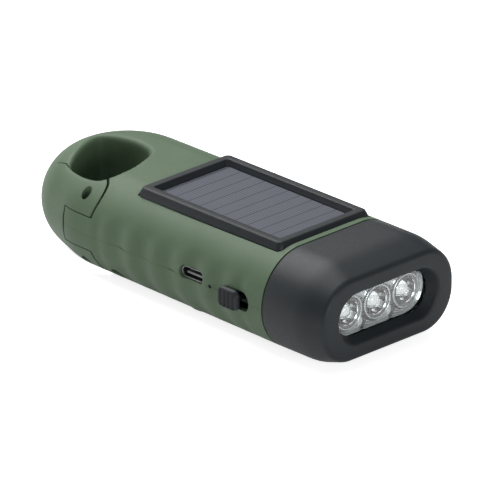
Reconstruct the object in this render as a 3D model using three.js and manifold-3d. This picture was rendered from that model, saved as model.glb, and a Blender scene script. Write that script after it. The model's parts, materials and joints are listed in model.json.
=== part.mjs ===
// Hand crank and solar flashlight with a carabiner loop, in millimetres.
// Origin: under the middle of the body, on the surface it rests on. +X points to the lens,
// -Y to the side with the switch, +Z to the solar panel.
import * as THREE from 'three';
import { mergeVertices } from 'three/addons/utils/BufferGeometryUtils.js';
import Module from 'manifold-3d';

const wasm = await Module();
wasm.setup();

// Body: a flat slab with full-round sides that ends in a round tail
const bodyLength = 134.5;
const bodyWidth = 55.6;
const bodyHeight = 30.8;
const shellWall = 2;
const tailRadius = 25;
const tailShift = 2;
const gateSideRadius = 24.5;
const gateSideX = -36;
const gateSideY = -1.5;
const noseReach = 65.5;
const headLength = 23.5;
const seatGap = 0.3;
const runGap = 0.1;
const visibleGap = 0.3;
const overrun = 1;
const sameCorner = 1e-4;       // corners this close are one corner
const mergeWithin = 0.001;     // corners closer than this become one

// Finger flutes along both sides
const flutePitch = 10.7;
const fluteDepth = 0.8;
const fluteRidgeX = -13.7;
const fluteStartX = -30.5;
const fluteEndX = 36;
const fluteFade = 5;
const fluteSpread = 52;
const fluteSoftness = 20;

// Carabiner loop, as shares of the tail radius from the tail's centre
const loopPointShares = [
  [-0.228, -0.672], [-0.304, -0.556], [-0.392, -0.364], [-0.46, -0.184], [-0.48, 0.024],
  [-0.308, 0.132], [-0.052, 0.196], [0.168, 0.16], [0.296, 0.064], [0.376, -0.12], [0.46, -0.424],
  [0.456, -0.64], [0.368, -0.756], [0.192, -0.788], [-0.08, -0.732],
];
const loopHeadShare = 0.46;
// How far towards the near side the room inside reaches beside the hole, of the tail's radius
const roomBesideHoleShare = 0.2;
const roomBesideGateShare = 0.5;
const loopRimRadius = 2.6;
const bulkhead = 2;
const gateBulkhead = 3;

// Gate of the loop with its hinge lug, pin and spring
const gatePinX = -36;
const gatePinY = -21.6;
const gatePinRadius = 1.4;
const gatePinInset = 8.5;
const leafRadius = 5.75;
const hingeGap = 0.8;
const lugRadius = 6.9;
const lugHeight = 10;
const gateEndAngle = -24.5;
const splitRootX = -52;
const splitRootY = -14.7;
const splitHookX = 1.8;
const splitHookY = -0.9;
const splitAngle = 169;
const splitEndShare = 0.125;   // how far the split runs on into the hole, of the tail's radius
const springWellRadius = 2.5;
const springWellDepth = 4;
const springWire = 0.5;
const springTurns = 4;

// Solar frame and panel
const frameX = 10.5;
const frameLength = 58.5;
const frameWidth = 36.3;
const frameTop = 32;
const frameSeat = 29;
const frameDraft = 0.9;
const frameRim = 2.5;
const frameCorner = 1.6;
const panelDrop = 1.7;
const panelLip = 1.3;
const frameInnerDraft = 0.8;
const ceiling = 2;
const cellCount = 10;
const cellGap = 0.35;
const cellRise = 0.15;
const leadHoleRadius = 1;

// Head bezel, lens, reflector and lamps
const creaseSetback = 8.5;
const faceWidth = 51.4;
const faceHeight = 24.6;
const faceCorner = 11;
const faceRound = 0.9;
const spigotLength = 8;
const spigotWall = 1.7;
const windowLength = 40;
const windowHeight = 16;
const windowDepth = 3.2;
const lensLength = 35.5;
const lensHeight = 12.5;
const lensThickness = 1.5;
const lensLip = 0.9;
const reflectorDepth = 6.3;
const cupPitch = 11.4;
const cupRadius = 5.5;
const lampRadius = 2.5;
const lampFlange = 0.4;
const lampFlangeRadius = 2.9;
const lampLength = 6.4;
const throatRadius = 3.1;
const collarWall = 1.6;
const lampBoardThickness = 1.1;
const lampBoardMargin = 0.2;

// Crank on the back
const hubX = 4.5;
const hubY = -9;
const hubRadius = 7.9;
const hubBottom = 0.3;
const hubTop = 8.5;
const hubClearance = 0.3;
const hubShaftRadius = 3;
const hubShaftTop = 14.6;
const hingeOffset = 5;
const hingeZ = 1.5;
const hingePinRadius = 0.75;
const hingePinLength = 11.6;
const armEyeRadius = 1.35;
const armLength = 31.7;
const armWidth = 8;
const armOuterZ = 2.2;
const armInnerZ = 6.5;
const armRamp = 2.2;
const armSlotClearance = 0.3;
const armSideClearance = 0.8;
const rampDepth = 0.8;
const rampLength = 3.2;
const knobRadius = 3.8;
const knobLength = 15.5;
const knobRound = 1.6;
const knobWell = 0.7;
const knobMouthRadius = 2.6;
const knobMouthDepth = 2.5;
const axleRadius = 1.2;
const axleHeadRadius = 2.2;
const axleHead = 1;
const linerWall = 1.3;

// Gears: teeth, module, face; each pair meshes a little deep of its sum
const meshSlack = 0.12;
const toothBacklash = 0.16;
const driveTeeth = 40;
const pinionTeeth = 12;
const coarseModule = 0.6;
const fineModule = 0.5;
const secondTeeth = 40;
const thirdTeeth = 36;
const rotorTeeth = 10;
// A tooth's height above and below the pitch circle and its flanks' lean there, as shares of the module
const toothTipShare = 0.9;
const toothRootShare = 1.2;
const tipLeanShare = 1.05;
const rootLeanShare = 0.9;
const shaftSink = 5;           // how far a gear shaft stands in its boss
const driveBottom = 10.6;
const driveFace = 2.4;
const secondBottom = 13.6;
const secondFace = 2.3;
const thirdBottom = 18.9;
const thirdFace = 2.2;
const pinionOverlap = 0.2;
const neckRadius = 2;
const gearShaftRadius = 1;
const bossRadius = 2.2;
const clutchRadius = 6;
const clipThickness = 0.6;
const clipRadius = 4.6;
const secondShaftAngle = 190;
const thirdShaftAngle = 113.8;
const rotorAngle = -30;

// Gear plate and generator
const plateBottom = 16.9;
const plateThickness = 1.5;
const plateMargin = 3;
const plateHoleGap = 0.4;
const postRadius = 1.6;
const postSpots = [[-24, -11], [-3, -21.5], [-5.2, 2.2]];
const plateHeadX = 0.6;
const plateScrewRadius = 0.8;
const plateScrewHead = 0.8;
const plateScrewHeadRadius = 1.4;
const plateScrewLength = 6;
const canRadius = 10.5;
const canBottom = 21.9;
const canHeight = 4.1;
const canWall = 0.7;
const canHole = 3.4;
const canStandRadius = 1;
const canStandAngles = [-57, -122, 60];
const windingInner = 5.9;
const windingHeight = 3;
const magnetRadius = 5.3;
const magnetHeight = 2.8;
const rotorShaftRadius = 0.75;
const pivotDepth = 0.5;
const pivotBossRadius = 2.2;

// Battery bay, cell, contacts and door
const bayTailX = -17.5;
const bayHeadX = 39.5;
const bayInnerY = 5.2;
const bayRoofZ = 17.4;
const bayRoof = 0.9;
const bayWall = 1.3;
const cellRadius = 7.2;
const cellLength = 50.5;
const cellY = 13.2;
const cellZ = 9.8;
const cellTipRadius = 2.7;
const cellTip = 1;
const contactThickness = 0.5;
const contactSize = 10;
const coilWire = 0.6;
const coilBaseRadius = 4.5;
const coilTipRadius = 2.2;
const coilTurns = 3;
const doorTailX = -18;
const doorHeadX = 38;
const doorTopZ = 12;
const doorTabX = 20.5;
const doorTabRadius = 4;
const doorTabThickness = 1.1;
const foamLength = 30;
const foamThickness = 1.4;
const foamLowZ = 8;
const foamHighZ = 11.5;
const foamX = 10;

// Board, socket, switch and charge light on the -Y side
const boardZ = 13.9;
const boardThickness = 1.2;
const boardTailX = 3;
const boardHeadX = 39.5;
const boardOuterY = -24.7;
const boardInnerY = -15.6;
const boardPostX = [20, 36];
const boardPostRadius = 1.5;
const usbX = 12.6;
const usbWidth = 9.2;
const usbHeight = 3.3;
const usbDepth = 7.3;
const usbWall = 0.35;
const usbSetback = 0.35;
const usbTongueWidth = 6.7;
const usbTongueHeight = 0.7;
const usbBack = 1;
const lightX = 20.4;
const lightRadius = 0.5;
const lightBlock = 1.6;
const slotTailX = 25.3;
const slotHeadX = 36.7;
const slotZ = 15.2;
const slotHeight = 5.8;
const switchKnobLength = 8.1;
const switchKnobHeight = 6.3;
const switchKnobProud = 1.5;
const switchKnobCorner = 2;
const switchRibs = 5;
const switchRibDepth = 0.8;
const switchStemLength = 4;
const switchStemHeight = 2;
const switchFinger = 2;
const switchTravel = 3;
const switchBodyLength = 10;
const switchBodyDepth = 6;
const switchBodyHeight = 3.4;

// Case screws: x, y and the height that each head bears on
const screwTubeSeat = 9;
const screwShankRadius = 1.1;
const screwHeadRadius = 2;
const screwHeadHeight = 1.3;
const screwLength = 13;
const screwBossRadius = 3;
const bayScrewLength = 6;
const tailScrewX = -23.5;
const tailScrewY = 20.8;
const channelScrewX = 20.8;
const channelScrewRise = 1.7;
const bayScrewX = 32;
const bayScrewY = 22.4;

// Places that follow from the sizes above
const bodyRadius = bodyHeight / 2;
const halfWidth = bodyWidth / 2;
const noseX = noseReach;
const tailX = noseX - bodyLength;
const headX = noseX - headLength;
const tailCentreX = tailX + tailRadius;
const partingZ = bodyRadius;
const spigotEndX = headX + spigotLength;
const windowBackX = noseX - windowDepth;
const lensFrontX = windowBackX - seatGap;
const lensBackX = lensFrontX - lensThickness;
const reflectorFrontX = lensBackX - visibleGap;
const reflectorBackX = reflectorFrontX - reflectorDepth;
const collarBackX = reflectorBackX - seatGap;
const lampBoardFrontX = collarBackX - visibleGap;
const hingeX = hubX - hingeOffset;
const knobX = hingeX + armLength;
const channelZ = armInnerZ + visibleGap;
const hubRecess = hubRadius + hubClearance;
const hubRoofZ = hubTop + visibleGap;
const linerRoofZ = hubRoofZ + linerWall;
const knobTopZ = armInnerZ + visibleGap + knobLength;
const coarseDistance = (driveTeeth + pinionTeeth) / 2 * coarseModule + meshSlack;
const secondDistance = (secondTeeth + pinionTeeth) / 2 * fineModule + meshSlack;
const rotorDistance = (thirdTeeth + rotorTeeth) / 2 * fineModule + meshSlack;
const secondSpot = polar([hubX, hubY], coarseDistance, secondShaftAngle);
const thirdSpot = polar(secondSpot, secondDistance, thirdShaftAngle);
const rotorSpot = polar(thirdSpot, rotorDistance, rotorAngle);
const plateTop = plateBottom + plateThickness;
const ceilingZ = frameSeat - ceiling;
const spigotInner = shellWall + visibleGap + spigotWall;
const doorEdgeY = bayInnerY;

const colours = {
  green: { color: 0x5f7561, roughness: 0.6, metalness: 0 },
  black: { color: 0x34363a, roughness: 0.55, metalness: 0 },
  cells: { color: 0x6c6f78, roughness: 0.25, metalness: 0 },
  clear: { color: 0xe6edf0, roughness: 0.05, metalness: 0, transparent: true, opacity: 0.35 },
  chrome: { color: 0xd5d7da, roughness: 0.08, metalness: 1 },
  steel: { color: 0xb4b6b8, roughness: 0.35, metalness: 1 },
  nylon: { color: 0xe8e6de, roughness: 0.5, metalness: 0 },
  board: { color: 0x1f6b3a, roughness: 0.5, metalness: 0 },
  copper: { color: 0xb5682f, roughness: 0.4, metalness: 1 },
  cell: { color: 0x8fcb8c, roughness: 0.4, metalness: 0 },
  foam: { color: 0x6f7173, roughness: 0.95, metalness: 0 },
};

function polar(centre, distance, degrees) {
  const angle = THREE.MathUtils.degToRad(degrees);
  return [centre[0] + distance * Math.cos(angle), centre[1] + distance * Math.sin(angle)];
}

// Solids: three.js geometry in, one closed body out
function solid(geometry) {
  const bare = new THREE.BufferGeometry();
  bare.setAttribute('position', geometry.getAttribute('position').clone());
  if (geometry.index) bare.setIndex(geometry.index.clone());
  const merged = mergeVertices(bare, sameCorner);
  const places = merged.getAttribute('position');
  const corners = merged.index.array;
  const kept = [];
  let volume = 0;
  for (let i = 0; i < corners.length; i += 3) {
    const [a, b, c] = [corners[i], corners[i + 1], corners[i + 2]];
    if (a === b || b === c || c === a) continue;
    kept.push(a, b, c);
    const [p, q, r] = [a, b, c].map((corner) => new THREE.Vector3().fromBufferAttribute(places, corner));
    volume += p.dot(q.cross(r));
  }
  if (volume < 0) kept.reverse();
  return new wasm.Manifold(new wasm.Mesh({
    numProp: 3,
    vertProperties: new Float32Array(places.array),
    triVerts: new Uint32Array(kept),
  }));
}

function join(first, ...others) {
  return others.reduce((whole, other) => whole.add(other), first);
}

function cut(first, ...others) {
  return others.reduce((whole, other) => whole.subtract(other), first);
}

function geometryOf(body) {
  const mesh = body.simplify(mergeWithin).getMesh();
  const geometry = new THREE.BufferGeometry();
  geometry.setAttribute('position', new THREE.BufferAttribute(new Float32Array(mesh.vertProperties), 3));
  geometry.setIndex(Array.from(mesh.triVerts));
  geometry.computeVertexNormals();
  return geometry;
}

function block([x0, x1], [y0, y1], [z0, z1]) {
  const box = new THREE.BoxGeometry(x1 - x0, y1 - y0, z1 - z0);
  return solid(box.translate((x0 + x1) / 2, (y0 + y1) / 2, (z0 + z1) / 2));
}

// A round bar from one height to another; the top may have its own radius
function bar([x, y], radius, [z0, z1], sides = 24, topRadius = radius) {
  const tube = new THREE.CylinderGeometry(topRadius, radius, z1 - z0, sides);
  return solid(tube.rotateX(Math.PI / 2).translate(x, y, (z0 + z1) / 2));
}

function barAlongX([y, z], radius, [x0, x1], sides = 24) {
  const tube = new THREE.CylinderGeometry(radius, radius, x1 - x0, sides);
  return solid(tube.rotateZ(-Math.PI / 2).translate((x0 + x1) / 2, y, z));
}

function barAlongY([x, z], radius, [y0, y1], sides = 24) {
  const tube = new THREE.CylinderGeometry(radius, radius, y1 - y0, sides);
  return solid(tube.translate(x, (y0 + y1) / 2, z));
}

function prism(shape, [z0, z1], curveSegments = 8) {
  const geometry = new THREE.ExtrudeGeometry(shape, { depth: z1 - z0, bevelEnabled: false, curveSegments });
  return solid(geometry.translate(0, 0, z0));
}

// A shape drawn in x and z, carried along y
function prismAlongY(shape, [y0, y1], curveSegments = 8) {
  const geometry = new THREE.ExtrudeGeometry(shape, { depth: y1 - y0, bevelEnabled: false, curveSegments });
  return solid(geometry.rotateX(Math.PI / 2).translate(0, y1, 0));
}

// A closed skin over rings that all have the same number of points, with a fan over each end
function skin(rings) {
  const count = rings[0].length;
  const points = rings.flat();
  const index = [];
  for (let start = 0; start + count < points.length; start += count) {
    for (let i = 0; i < count; i++) {
      const [a, b] = [start + i, start + (i + 1) % count];
      index.push(a, b, b + count, a, b + count, a + count);
    }
  }
  const last = points.length - count;
  const middles = [rings[0], rings.at(-1)].map((ring) => ring.reduce((sum, point) => sum.add(point),
    new THREE.Vector3()).divideScalar(count));
  points.push(...middles);
  for (let i = 0; i < count; i++) {
    const next = (i + 1) % count;
    index.push(points.length - 2, next, i, points.length - 1, last + i, last + next);
  }
  const geometry = new THREE.BufferGeometry().setFromPoints(points);
  geometry.setIndex(index);
  return solid(geometry);
}

// Body outline seen from above
// It is the hull of the head and two circles: the tail's own and one that carries the side with the gate.
const tailSteps = 10;
const gateSideSteps = 3;
const stepsPerFlute = 4;
const near = -1;
const far = 1;
const tailCircle = { x: tailCentreX, y: tailShift, radius: tailRadius };
const gateCircle = { x: gateSideX, y: gateSideY, radius: gateSideRadius };
const joinNormal = Math.atan2(tailShift - gateSideY, tailCentreX - gateSideX)
  + Math.acos((gateSideRadius - tailRadius) / Math.hypot(tailShift - gateSideY, tailCentreX - gateSideX));

// The direction that a side faces, from +X towards that side
function sideNormal(side) {
  const circle = side === near ? gateCircle : tailCircle;
  const [reach, rise] = [headX - circle.x, halfWidth - side * circle.y];
  return Math.atan2(rise, reach) + Math.acos(circle.radius / Math.hypot(reach, rise));
}

// Where a side's outline lies at a place along it, with the outline moved inward by inset
function sideY(x, inset, side = near) {
  if (x >= headX) return side * (halfWidth - inset);
  const circle = side === near ? gateCircle : tailCircle;
  const normal = sideNormal(side);
  return circle.y + side * (circle.radius - inset - (x - circle.x) * Math.cos(normal)) / Math.sin(normal);
}

// Points on a circle drawn in by inset, from one direction to just before another
function arcPoints(circle, inset, from, to, steps, z) {
  return Array.from({ length: steps }, (_, k) => {
    const angle = THREE.MathUtils.lerp(from, to, k / steps);
    const radius = circle.radius - inset;
    return new THREE.Vector3(circle.x + radius * Math.cos(angle), circle.y + radius * Math.sin(angle), z);
  });
}

function smooth(value) {
  const t = THREE.MathUtils.clamp(value, 0, 1);
  return t * t * (3 - 2 * t);
}

function fluteAt(x) {
  const groove = (1 - Math.cos(2 * Math.PI * (x - fluteRidgeX) / flutePitch)) / 2;
  const start = smooth((x - fluteStartX) / fluteFade);
  const end = smooth((fluteEndX - x) / fluteFade);
  return fluteDepth * groove * start * end;
}

// Places along a side, closer together where the flutes are
function sideStations(fluted, endX) {
  const stations = endX > headX ? [endX, headX] : [headX];
  if (!fluted) return stations;
  const step = flutePitch / stepsPerFlute;
  const first = Math.floor((fluteEndX - fluteRidgeX) / step);
  for (let k = first; fluteRidgeX + k * step > fluteStartX; k--) stations.push(fluteRidgeX + k * step);
  return stations;
}

// One level of the body: the outline moved inward by inset, at height z, with a share of the flutes
function planRing(inset, z, fluteShare, fluted, endX) {
  const straight = (side) => sideStations(fluted, endX)
    .map((x) => new THREE.Vector3(x, sideY(x, inset + fluteShare * fluteAt(x), side), z));
  const join = 2 * Math.PI - joinNormal;
  return [
    ...straight(near),
    ...arcPoints(gateCircle, inset, -sideNormal(near), -join, gateSideSteps, z),
    ...arcPoints(tailCircle, inset, -join, -Math.PI, tailSteps, z),
    new THREE.Vector3(tailX + inset, tailShift, z),
    ...arcPoints(tailCircle, inset, sideNormal(far), Math.PI, tailSteps, z).reverse(),
    ...straight(far).reverse(),
  ];
}

// The whole slab, or the same slab a given depth inside its own surface
function slab(depth, { fluted = false, endX = noseX, step = 15 } = {}) {
  const radius = bodyRadius - depth;
  const rings = [];
  for (let degrees = -90; degrees <= 90; degrees += step) {
    const angle = THREE.MathUtils.degToRad(degrees);
    const inset = depth + radius * (1 - Math.cos(angle));
    const fluteShare = smooth((fluteSpread - Math.abs(degrees)) / fluteSoftness);
    rings.push(planRing(inset, bodyRadius + radius * Math.sin(angle), fluteShare, fluted, endX));
  }
  return skin(rings);
}

// The hole of the loop; its outline runs clockwise, so it grows to the left of the way it runs
function loopOutline(grow) {
  const points = loopPointShares.map(([x, y]) => new THREE.Vector3(
    tailCentreX + x * tailRadius, tailShift + y * tailRadius, 0));
  const curve = new THREE.CatmullRomCurve3(points, true);
  const steps = loopPointShares.length * 3;
  return Array.from({ length: steps }, (_, i) => {
    const at = curve.getPoint(i / steps);
    const along = curve.getTangent(i / steps);
    return new THREE.Vector3(at.x - grow * along.y, at.y + grow * along.x, 0);
  });
}

function loopHole() {
  const levels = [];
  for (const degrees of [90, 60, 30, 0]) {
    const angle = THREE.MathUtils.degToRad(degrees);
    levels.push([loopRimRadius * (1 - Math.sin(angle)), loopRimRadius * (1 - Math.cos(angle))]);
  }
  const lower = [[-overrun, loopRimRadius], ...levels];
  const upper = lower.map(([z, grow]) => [bodyHeight - z, grow]).reverse();
  const rings = [...lower, ...upper].map(([z, grow]) => loopOutline(grow).map((p) => p.setZ(z)));
  return skin(rings);
}

// Gate
const gatePin = [gatePinX, gatePinY];
const lugLowZ = partingZ - lugHeight / 2;
const lugHighZ = partingZ + lugHeight / 2;
const leafClearance = 0.3;
const farOut = bodyWidth;

function shapeOf(points) {
  return new THREE.Shape(points.map(([x, y]) => new THREE.Vector2(x, y)));
}

// Plan of the gate: round about its pin at the head end, cut along the split at the tail end
function gatePlan(endRadius, splitShift) {
  const line = polar(gatePin, endRadius, gateEndAngle);
  const outside = polar(line, farOut, gateEndAngle - 90);
  const root = polar([splitRootX, splitRootY], splitShift, splitAngle - 90);
  const hook = [root[0] + splitHookX, root[1] + splitHookY];
  const inHole = polar(hook, splitEndShare * tailRadius, 30);
  const tip = polar(root, farOut, splitAngle);
  const points = [outside, [tip[0], -farOut], tip, root, hook, inHole];
  for (let degrees = 110; degrees > gateEndAngle; degrees -= 12) {
    points.push(polar(gatePin, endRadius, degrees));
  }
  points.push(line);
  return shapeOf(points);
}

function lugPlan(radius) {
  const reach = leafRadius + hingeGap + overrun;
  const disc = new THREE.Shape().absarc(gatePinX, gatePinY, radius, 0, 2 * Math.PI);
  const span = [-overrun, bodyHeight + overrun];
  return join(prism(disc, span, 16), block([gatePinX, gatePinX + reach], [-farOut, gatePinY + reach], span));
}

const wholeBody = slab(0, { fluted: true, endX: headX });
const ringBody = cut(wholeBody, loopHole());
const fullHeight = [-overrun, frameTop + overrun];
const lugLevels = block([gatePinX - lugRadius - overrun, headX], [-farOut, 0], [lugLowZ, lugHighZ]);
const gateOpening = cut(prism(gatePlan(leafRadius + hingeGap, visibleGap), fullHeight),
  lugLevels.intersect(lugPlan(lugRadius)));
const gatePocket = block([gatePinX - lugRadius - overrun, headX], [-farOut, 0],
  [lugLowZ - leafClearance, lugHighZ + leafClearance]);

function carabinerGate() {
  const blank = ringBody.intersect(prism(gatePlan(leafRadius, 0), fullHeight));
  const pocket = gatePocket.intersect(lugPlan(lugRadius + leafClearance));
  return cut(blank, pocket, bar(gatePin, gatePinRadius + runGap, fullHeight));
}

function helix(centre, baseRadius, tipRadius, height, turns, wire, alongX) {
  const points = [];
  const steps = turns * 8;
  for (let i = 0; i <= steps; i++) {
    const share = i / steps;
    const angle = 2 * Math.PI * turns * share;
    const radius = THREE.MathUtils.lerp(baseRadius, tipRadius, share);
    const [u, v, w] = [radius * Math.cos(angle), radius * Math.sin(angle), height * share];
    const at = alongX ? new THREE.Vector3(w, u, v) : new THREE.Vector3(u, v, w);
    points.push(at.add(centre));
  }
  const curve = new THREE.CatmullRomCurve3(points);
  const section = new THREE.Shape(Array.from({ length: 5 }, (_, i) => {
    const angle = 2 * Math.PI * i / 5;
    return new THREE.Vector2(wire / 2 * Math.cos(angle), wire / 2 * Math.sin(angle));
  }));
  const gap = Math.abs(height) / turns - wire;
  console.log(`coil of ${turns} turns: least gap between turns ${gap.toFixed(2)} mm`);
  return solid(new THREE.ExtrudeGeometry(section, { steps, extrudePath: curve, bevelEnabled: false }));
}

// Rounded rectangle centred on a point
function roundedRect(cx, cy, width, height, radius) {
  const [x0, x1, y0, y1] = [cx - width / 2, cx + width / 2, cy - height / 2, cy + height / 2];
  const shape = new THREE.Shape();
  shape.moveTo(x0 + radius, y0);
  shape.lineTo(x1 - radius, y0);
  shape.absarc(x1 - radius, y0 + radius, radius, -Math.PI / 2, 0);
  shape.lineTo(x1, y1 - radius);
  shape.absarc(x1 - radius, y1 - radius, radius, 0, Math.PI / 2);
  shape.lineTo(x0 + radius, y1);
  shape.absarc(x0 + radius, y1 - radius, radius, Math.PI / 2, Math.PI);
  shape.lineTo(x0, y0 + radius);
  shape.absarc(x0 + radius, y0 + radius, radius, Math.PI, 1.5 * Math.PI);
  return shape;
}

// Points round a rounded rectangle, the same number for every size
function rectRing(place, cx, cy, width, height, radius, cornerSteps = 6) {
  const ring = [];
  const corners = [[1, -1, -90], [1, 1, 0], [-1, 1, 90], [-1, -1, 180]];
  for (const [sx, sy, start] of corners) {
    const centre = [cx + sx * (width / 2 - radius), cy + sy * (height / 2 - radius)];
    for (let k = 0; k <= cornerSteps; k++) {
      ring.push(place(...polar(centre, radius, start + 90 * k / cornerSteps)));
    }
  }
  return ring;
}

const level = (z) => (x, y) => new THREE.Vector3(x, y, z);
const station = (x) => (y, z) => new THREE.Vector3(x, y, z);

// Solar frame and panel
const frameOpeningLength = frameLength - 2 * (frameDraft + frameRim);
const frameOpeningWidth = frameWidth - 2 * (frameDraft + frameRim);
const panelTop = frameTop - panelDrop;
const panelLength = frameOpeningLength - 2 * frameInnerDraft + 2 * panelLip;
const panelWidth = frameOpeningWidth - 2 * frameInnerDraft + 2 * panelLip;

function solarFrame() {
  const outer = skin([
    rectRing(level(frameSeat), frameX, 0, frameLength, frameWidth, frameCorner, 3),
    rectRing(level(panelTop), frameX, 0, frameLength, frameWidth, frameCorner, 3),
    rectRing(level(frameTop), frameX, 0, frameLength - 2 * frameDraft, frameWidth - 2 * frameDraft,
      frameCorner, 3),
  ]);
  const shrink = 2 * frameInnerDraft;
  const opening = skin([
    rectRing(level(frameTop + overrun), frameX, 0, frameOpeningLength, frameOpeningWidth, frameDraft, 3),
    rectRing(level(frameTop), frameX, 0, frameOpeningLength, frameOpeningWidth, frameDraft, 3),
    rectRing(level(panelTop), frameX, 0, frameOpeningLength - shrink, frameOpeningWidth - shrink,
      frameDraft, 3),
    rectRing(level(frameSeat - overrun), frameX, 0, frameOpeningLength - shrink, frameOpeningWidth - shrink,
      frameDraft, 3),
  ]);
  const recess = prism(
    roundedRect(frameX, 0, panelLength + 2 * seatGap, panelWidth + 2 * seatGap, frameDraft),
    [frameSeat - overrun, panelTop], 3);
  return cut(outer, opening, recess);
}

function solarPanel() {
  const shownLength = frameOpeningLength - 2 * frameInnerDraft - 2 * seatGap;
  const shownWidth = frameOpeningWidth - 2 * frameInnerDraft - 2 * seatGap;
  const cellPitch = shownLength / cellCount;
  const top = panelTop - seatGap;
  let panel = prism(roundedRect(frameX, 0, panelLength, panelWidth, frameDraft),
    [frameSeat + runGap, top], 3);
  for (let i = 0; i < cellCount; i++) {
    const x = frameX - shownLength / 2 + i * cellPitch;
    panel = panel.add(block([x + cellGap / 2, x + cellPitch - cellGap / 2],
      [-shownWidth / 2 + cellGap, shownWidth / 2 - cellGap], [top - cellRise, top + cellRise]));
  }
  return panel;
}

// Head bezel: a sleeve over the shells' spigot with the lamp window in front
const creaseX = noseX - creaseSetback;
const sleeveStartX = headX + visibleGap;
const faceZ = bodyHeight / 2;

function bezelRings(depth, startX, frontX) {
  const inner = 2 * depth;
  const edge = faceRound * 2;
  const atFace = (x, trim) => rectRing(station(x), 0, faceZ, faceWidth - inner - trim,
    faceHeight - inner - trim, faceCorner - depth - trim / 2);
  const body = (x) => rectRing(station(x), 0, faceZ, bodyWidth - inner, bodyHeight - inner,
    bodyRadius - depth);
  const slope = (bodyWidth - faceWidth) * faceRound / creaseSetback;
  if (depth > 0) return [body(startX), body(creaseX), atFace(frontX, 0)];
  return [body(startX), body(creaseX), atFace(frontX - faceRound, -slope), atFace(frontX, edge)];
}

function headBezel() {
  const outer = skin(bezelRings(0, sleeveStartX, noseX));
  const hollow = skin(bezelRings(shellWall, sleeveStartX - overrun, windowBackX));
  const collarWidth = lensLength + 2 * (lensLip + collarWall);
  const collarHeight = lensHeight + 2 * (lensLip + collarWall);
  const collar = stadium([collarBackX, windowBackX + overrun], collarWidth, collarHeight);
  const pocket = stadium([collarBackX - overrun, windowBackX], lensLength + 2 * (lensLip + seatGap),
    lensHeight + 2 * (lensLip + seatGap));
  const flare = (windowLength - lensLength) / windowDepth * overrun;
  const window = skin([
    stadiumRing(windowBackX - overrun, lensLength, lensHeight),
    stadiumRing(windowBackX, lensLength, lensHeight),
    stadiumRing(noseX + overrun, windowLength + flare, windowHeight + flare),
  ]);
  return cut(join(cut(outer, hollow), collar), pocket, window);
}

function stadiumRing(x, width, height) {
  return rectRing(station(x), 0, faceZ, width, height, height / 2 - runGap);
}

function stadium([x0, x1], width, height) {
  return skin([stadiumRing(x0, width, height), stadiumRing(x1, width, height)]);
}

function lens() {
  return stadium([lensBackX, lensFrontX], lensLength + 2 * lensLip, lensHeight + 2 * lensLip);
}

const cupOffsets = [-cupPitch, 0, cupPitch];

// Each cup is a paraboloid from the throat round the lamp to its mouth
function reflector() {
  let body = stadium([reflectorBackX, reflectorFrontX], lensLength + 2 * lensLip, lensHeight + 2 * lensLip);
  const steps = 5;
  for (const y of cupOffsets) {
    const profile = [new THREE.Vector2(0, -overrun), new THREE.Vector2(throatRadius, -overrun)];
    for (let i = 0; i <= steps; i++) {
      const radius = THREE.MathUtils.lerp(throatRadius, cupRadius, i / steps);
      const share = (radius ** 2 - throatRadius ** 2) / (cupRadius ** 2 - throatRadius ** 2);
      profile.push(new THREE.Vector2(radius, reflectorDepth * share));
    }
    profile.push(new THREE.Vector2(cupRadius, reflectorDepth + overrun));
    profile.push(new THREE.Vector2(0, reflectorDepth + overrun));
    const cup = new THREE.LatheGeometry(profile, 20).rotateZ(-Math.PI / 2);
    body = body.subtract(solid(cup.translate(reflectorBackX, y, faceZ)));
  }
  return body;
}

function lamp(y) {
  const start = lampBoardFrontX;
  const profile = [new THREE.Vector2(0, 0), new THREE.Vector2(lampFlangeRadius, 0),
    new THREE.Vector2(lampFlangeRadius, lampFlange), new THREE.Vector2(lampRadius, lampFlange)];
  for (const degrees of [0, 30, 60, 90]) {
    const [side, up] = polar([0, lampLength - lampRadius], lampRadius, degrees);
    profile.push(new THREE.Vector2(degrees === 90 ? 0 : side, up));
  }
  return solid(new THREE.LatheGeometry(profile, 14).rotateZ(-Math.PI / 2).translate(start, y, faceZ));
}

function lampBoard() {
  const grow = 2 * (lensLip + collarWall - lampBoardMargin);
  return stadium([lampBoardFrontX - lampBoardThickness, lampBoardFrontX], lensLength + grow,
    lensHeight + grow);
}

// Crank
const knobSweep = Math.hypot(armLength + knobRadius - knobRound, knobTopZ - knobRound - hingeZ)
  + knobRound + knobWell / 2;

// Side view of the well that the knob swings out of: an upright back and an arc about the hinge
function knobWellShape(grow) {
  const reach = knobSweep + grow;
  const topZ = knobTopZ + knobWell + grow;
  const backX = knobX - knobRadius - knobWell - grow;
  const first = Math.asin((topZ - hingeZ) / reach);
  const last = Math.asin((-overrun - hingeZ) / reach);
  const shape = new THREE.Shape();
  shape.moveTo(backX, -overrun);
  shape.lineTo(backX, topZ);
  shape.absarc(hingeX, hingeZ, reach, first, last, true);
  return shape;
}

function channelSolid(grow, topZ) {
  const half = armWidth / 2 + armSideClearance + grow;
  const tunnel = block([hubX, knobX + armWidth / 2 + grow], [hubY - half, hubY + half], [-overrun, topZ]);
  const wellHalf = knobRadius + knobWell + grow;
  const well = prismAlongY(knobWellShape(grow), [hubY - wellHalf, hubY + wellHalf], 5);
  return join(tunnel, well);
}

function crankPocket() {
  const recess = bar([hubX, hubY], hubRecess, [-overrun, hubRoofZ], 36);
  const edgeX = hubX - hubRecess;
  const ramp = new THREE.Shape();
  ramp.moveTo(hubX, -overrun);
  ramp.lineTo(hubX, rampDepth);
  ramp.lineTo(edgeX, rampDepth);
  ramp.lineTo(edgeX - rampLength, 0);
  ramp.lineTo(edgeX - rampLength, -overrun);
  const half = armWidth / 2 + armSideClearance;
  return join(recess, prismAlongY(ramp, [hubY - half, hubY + half]), channelSolid(0, channelZ));
}

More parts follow.
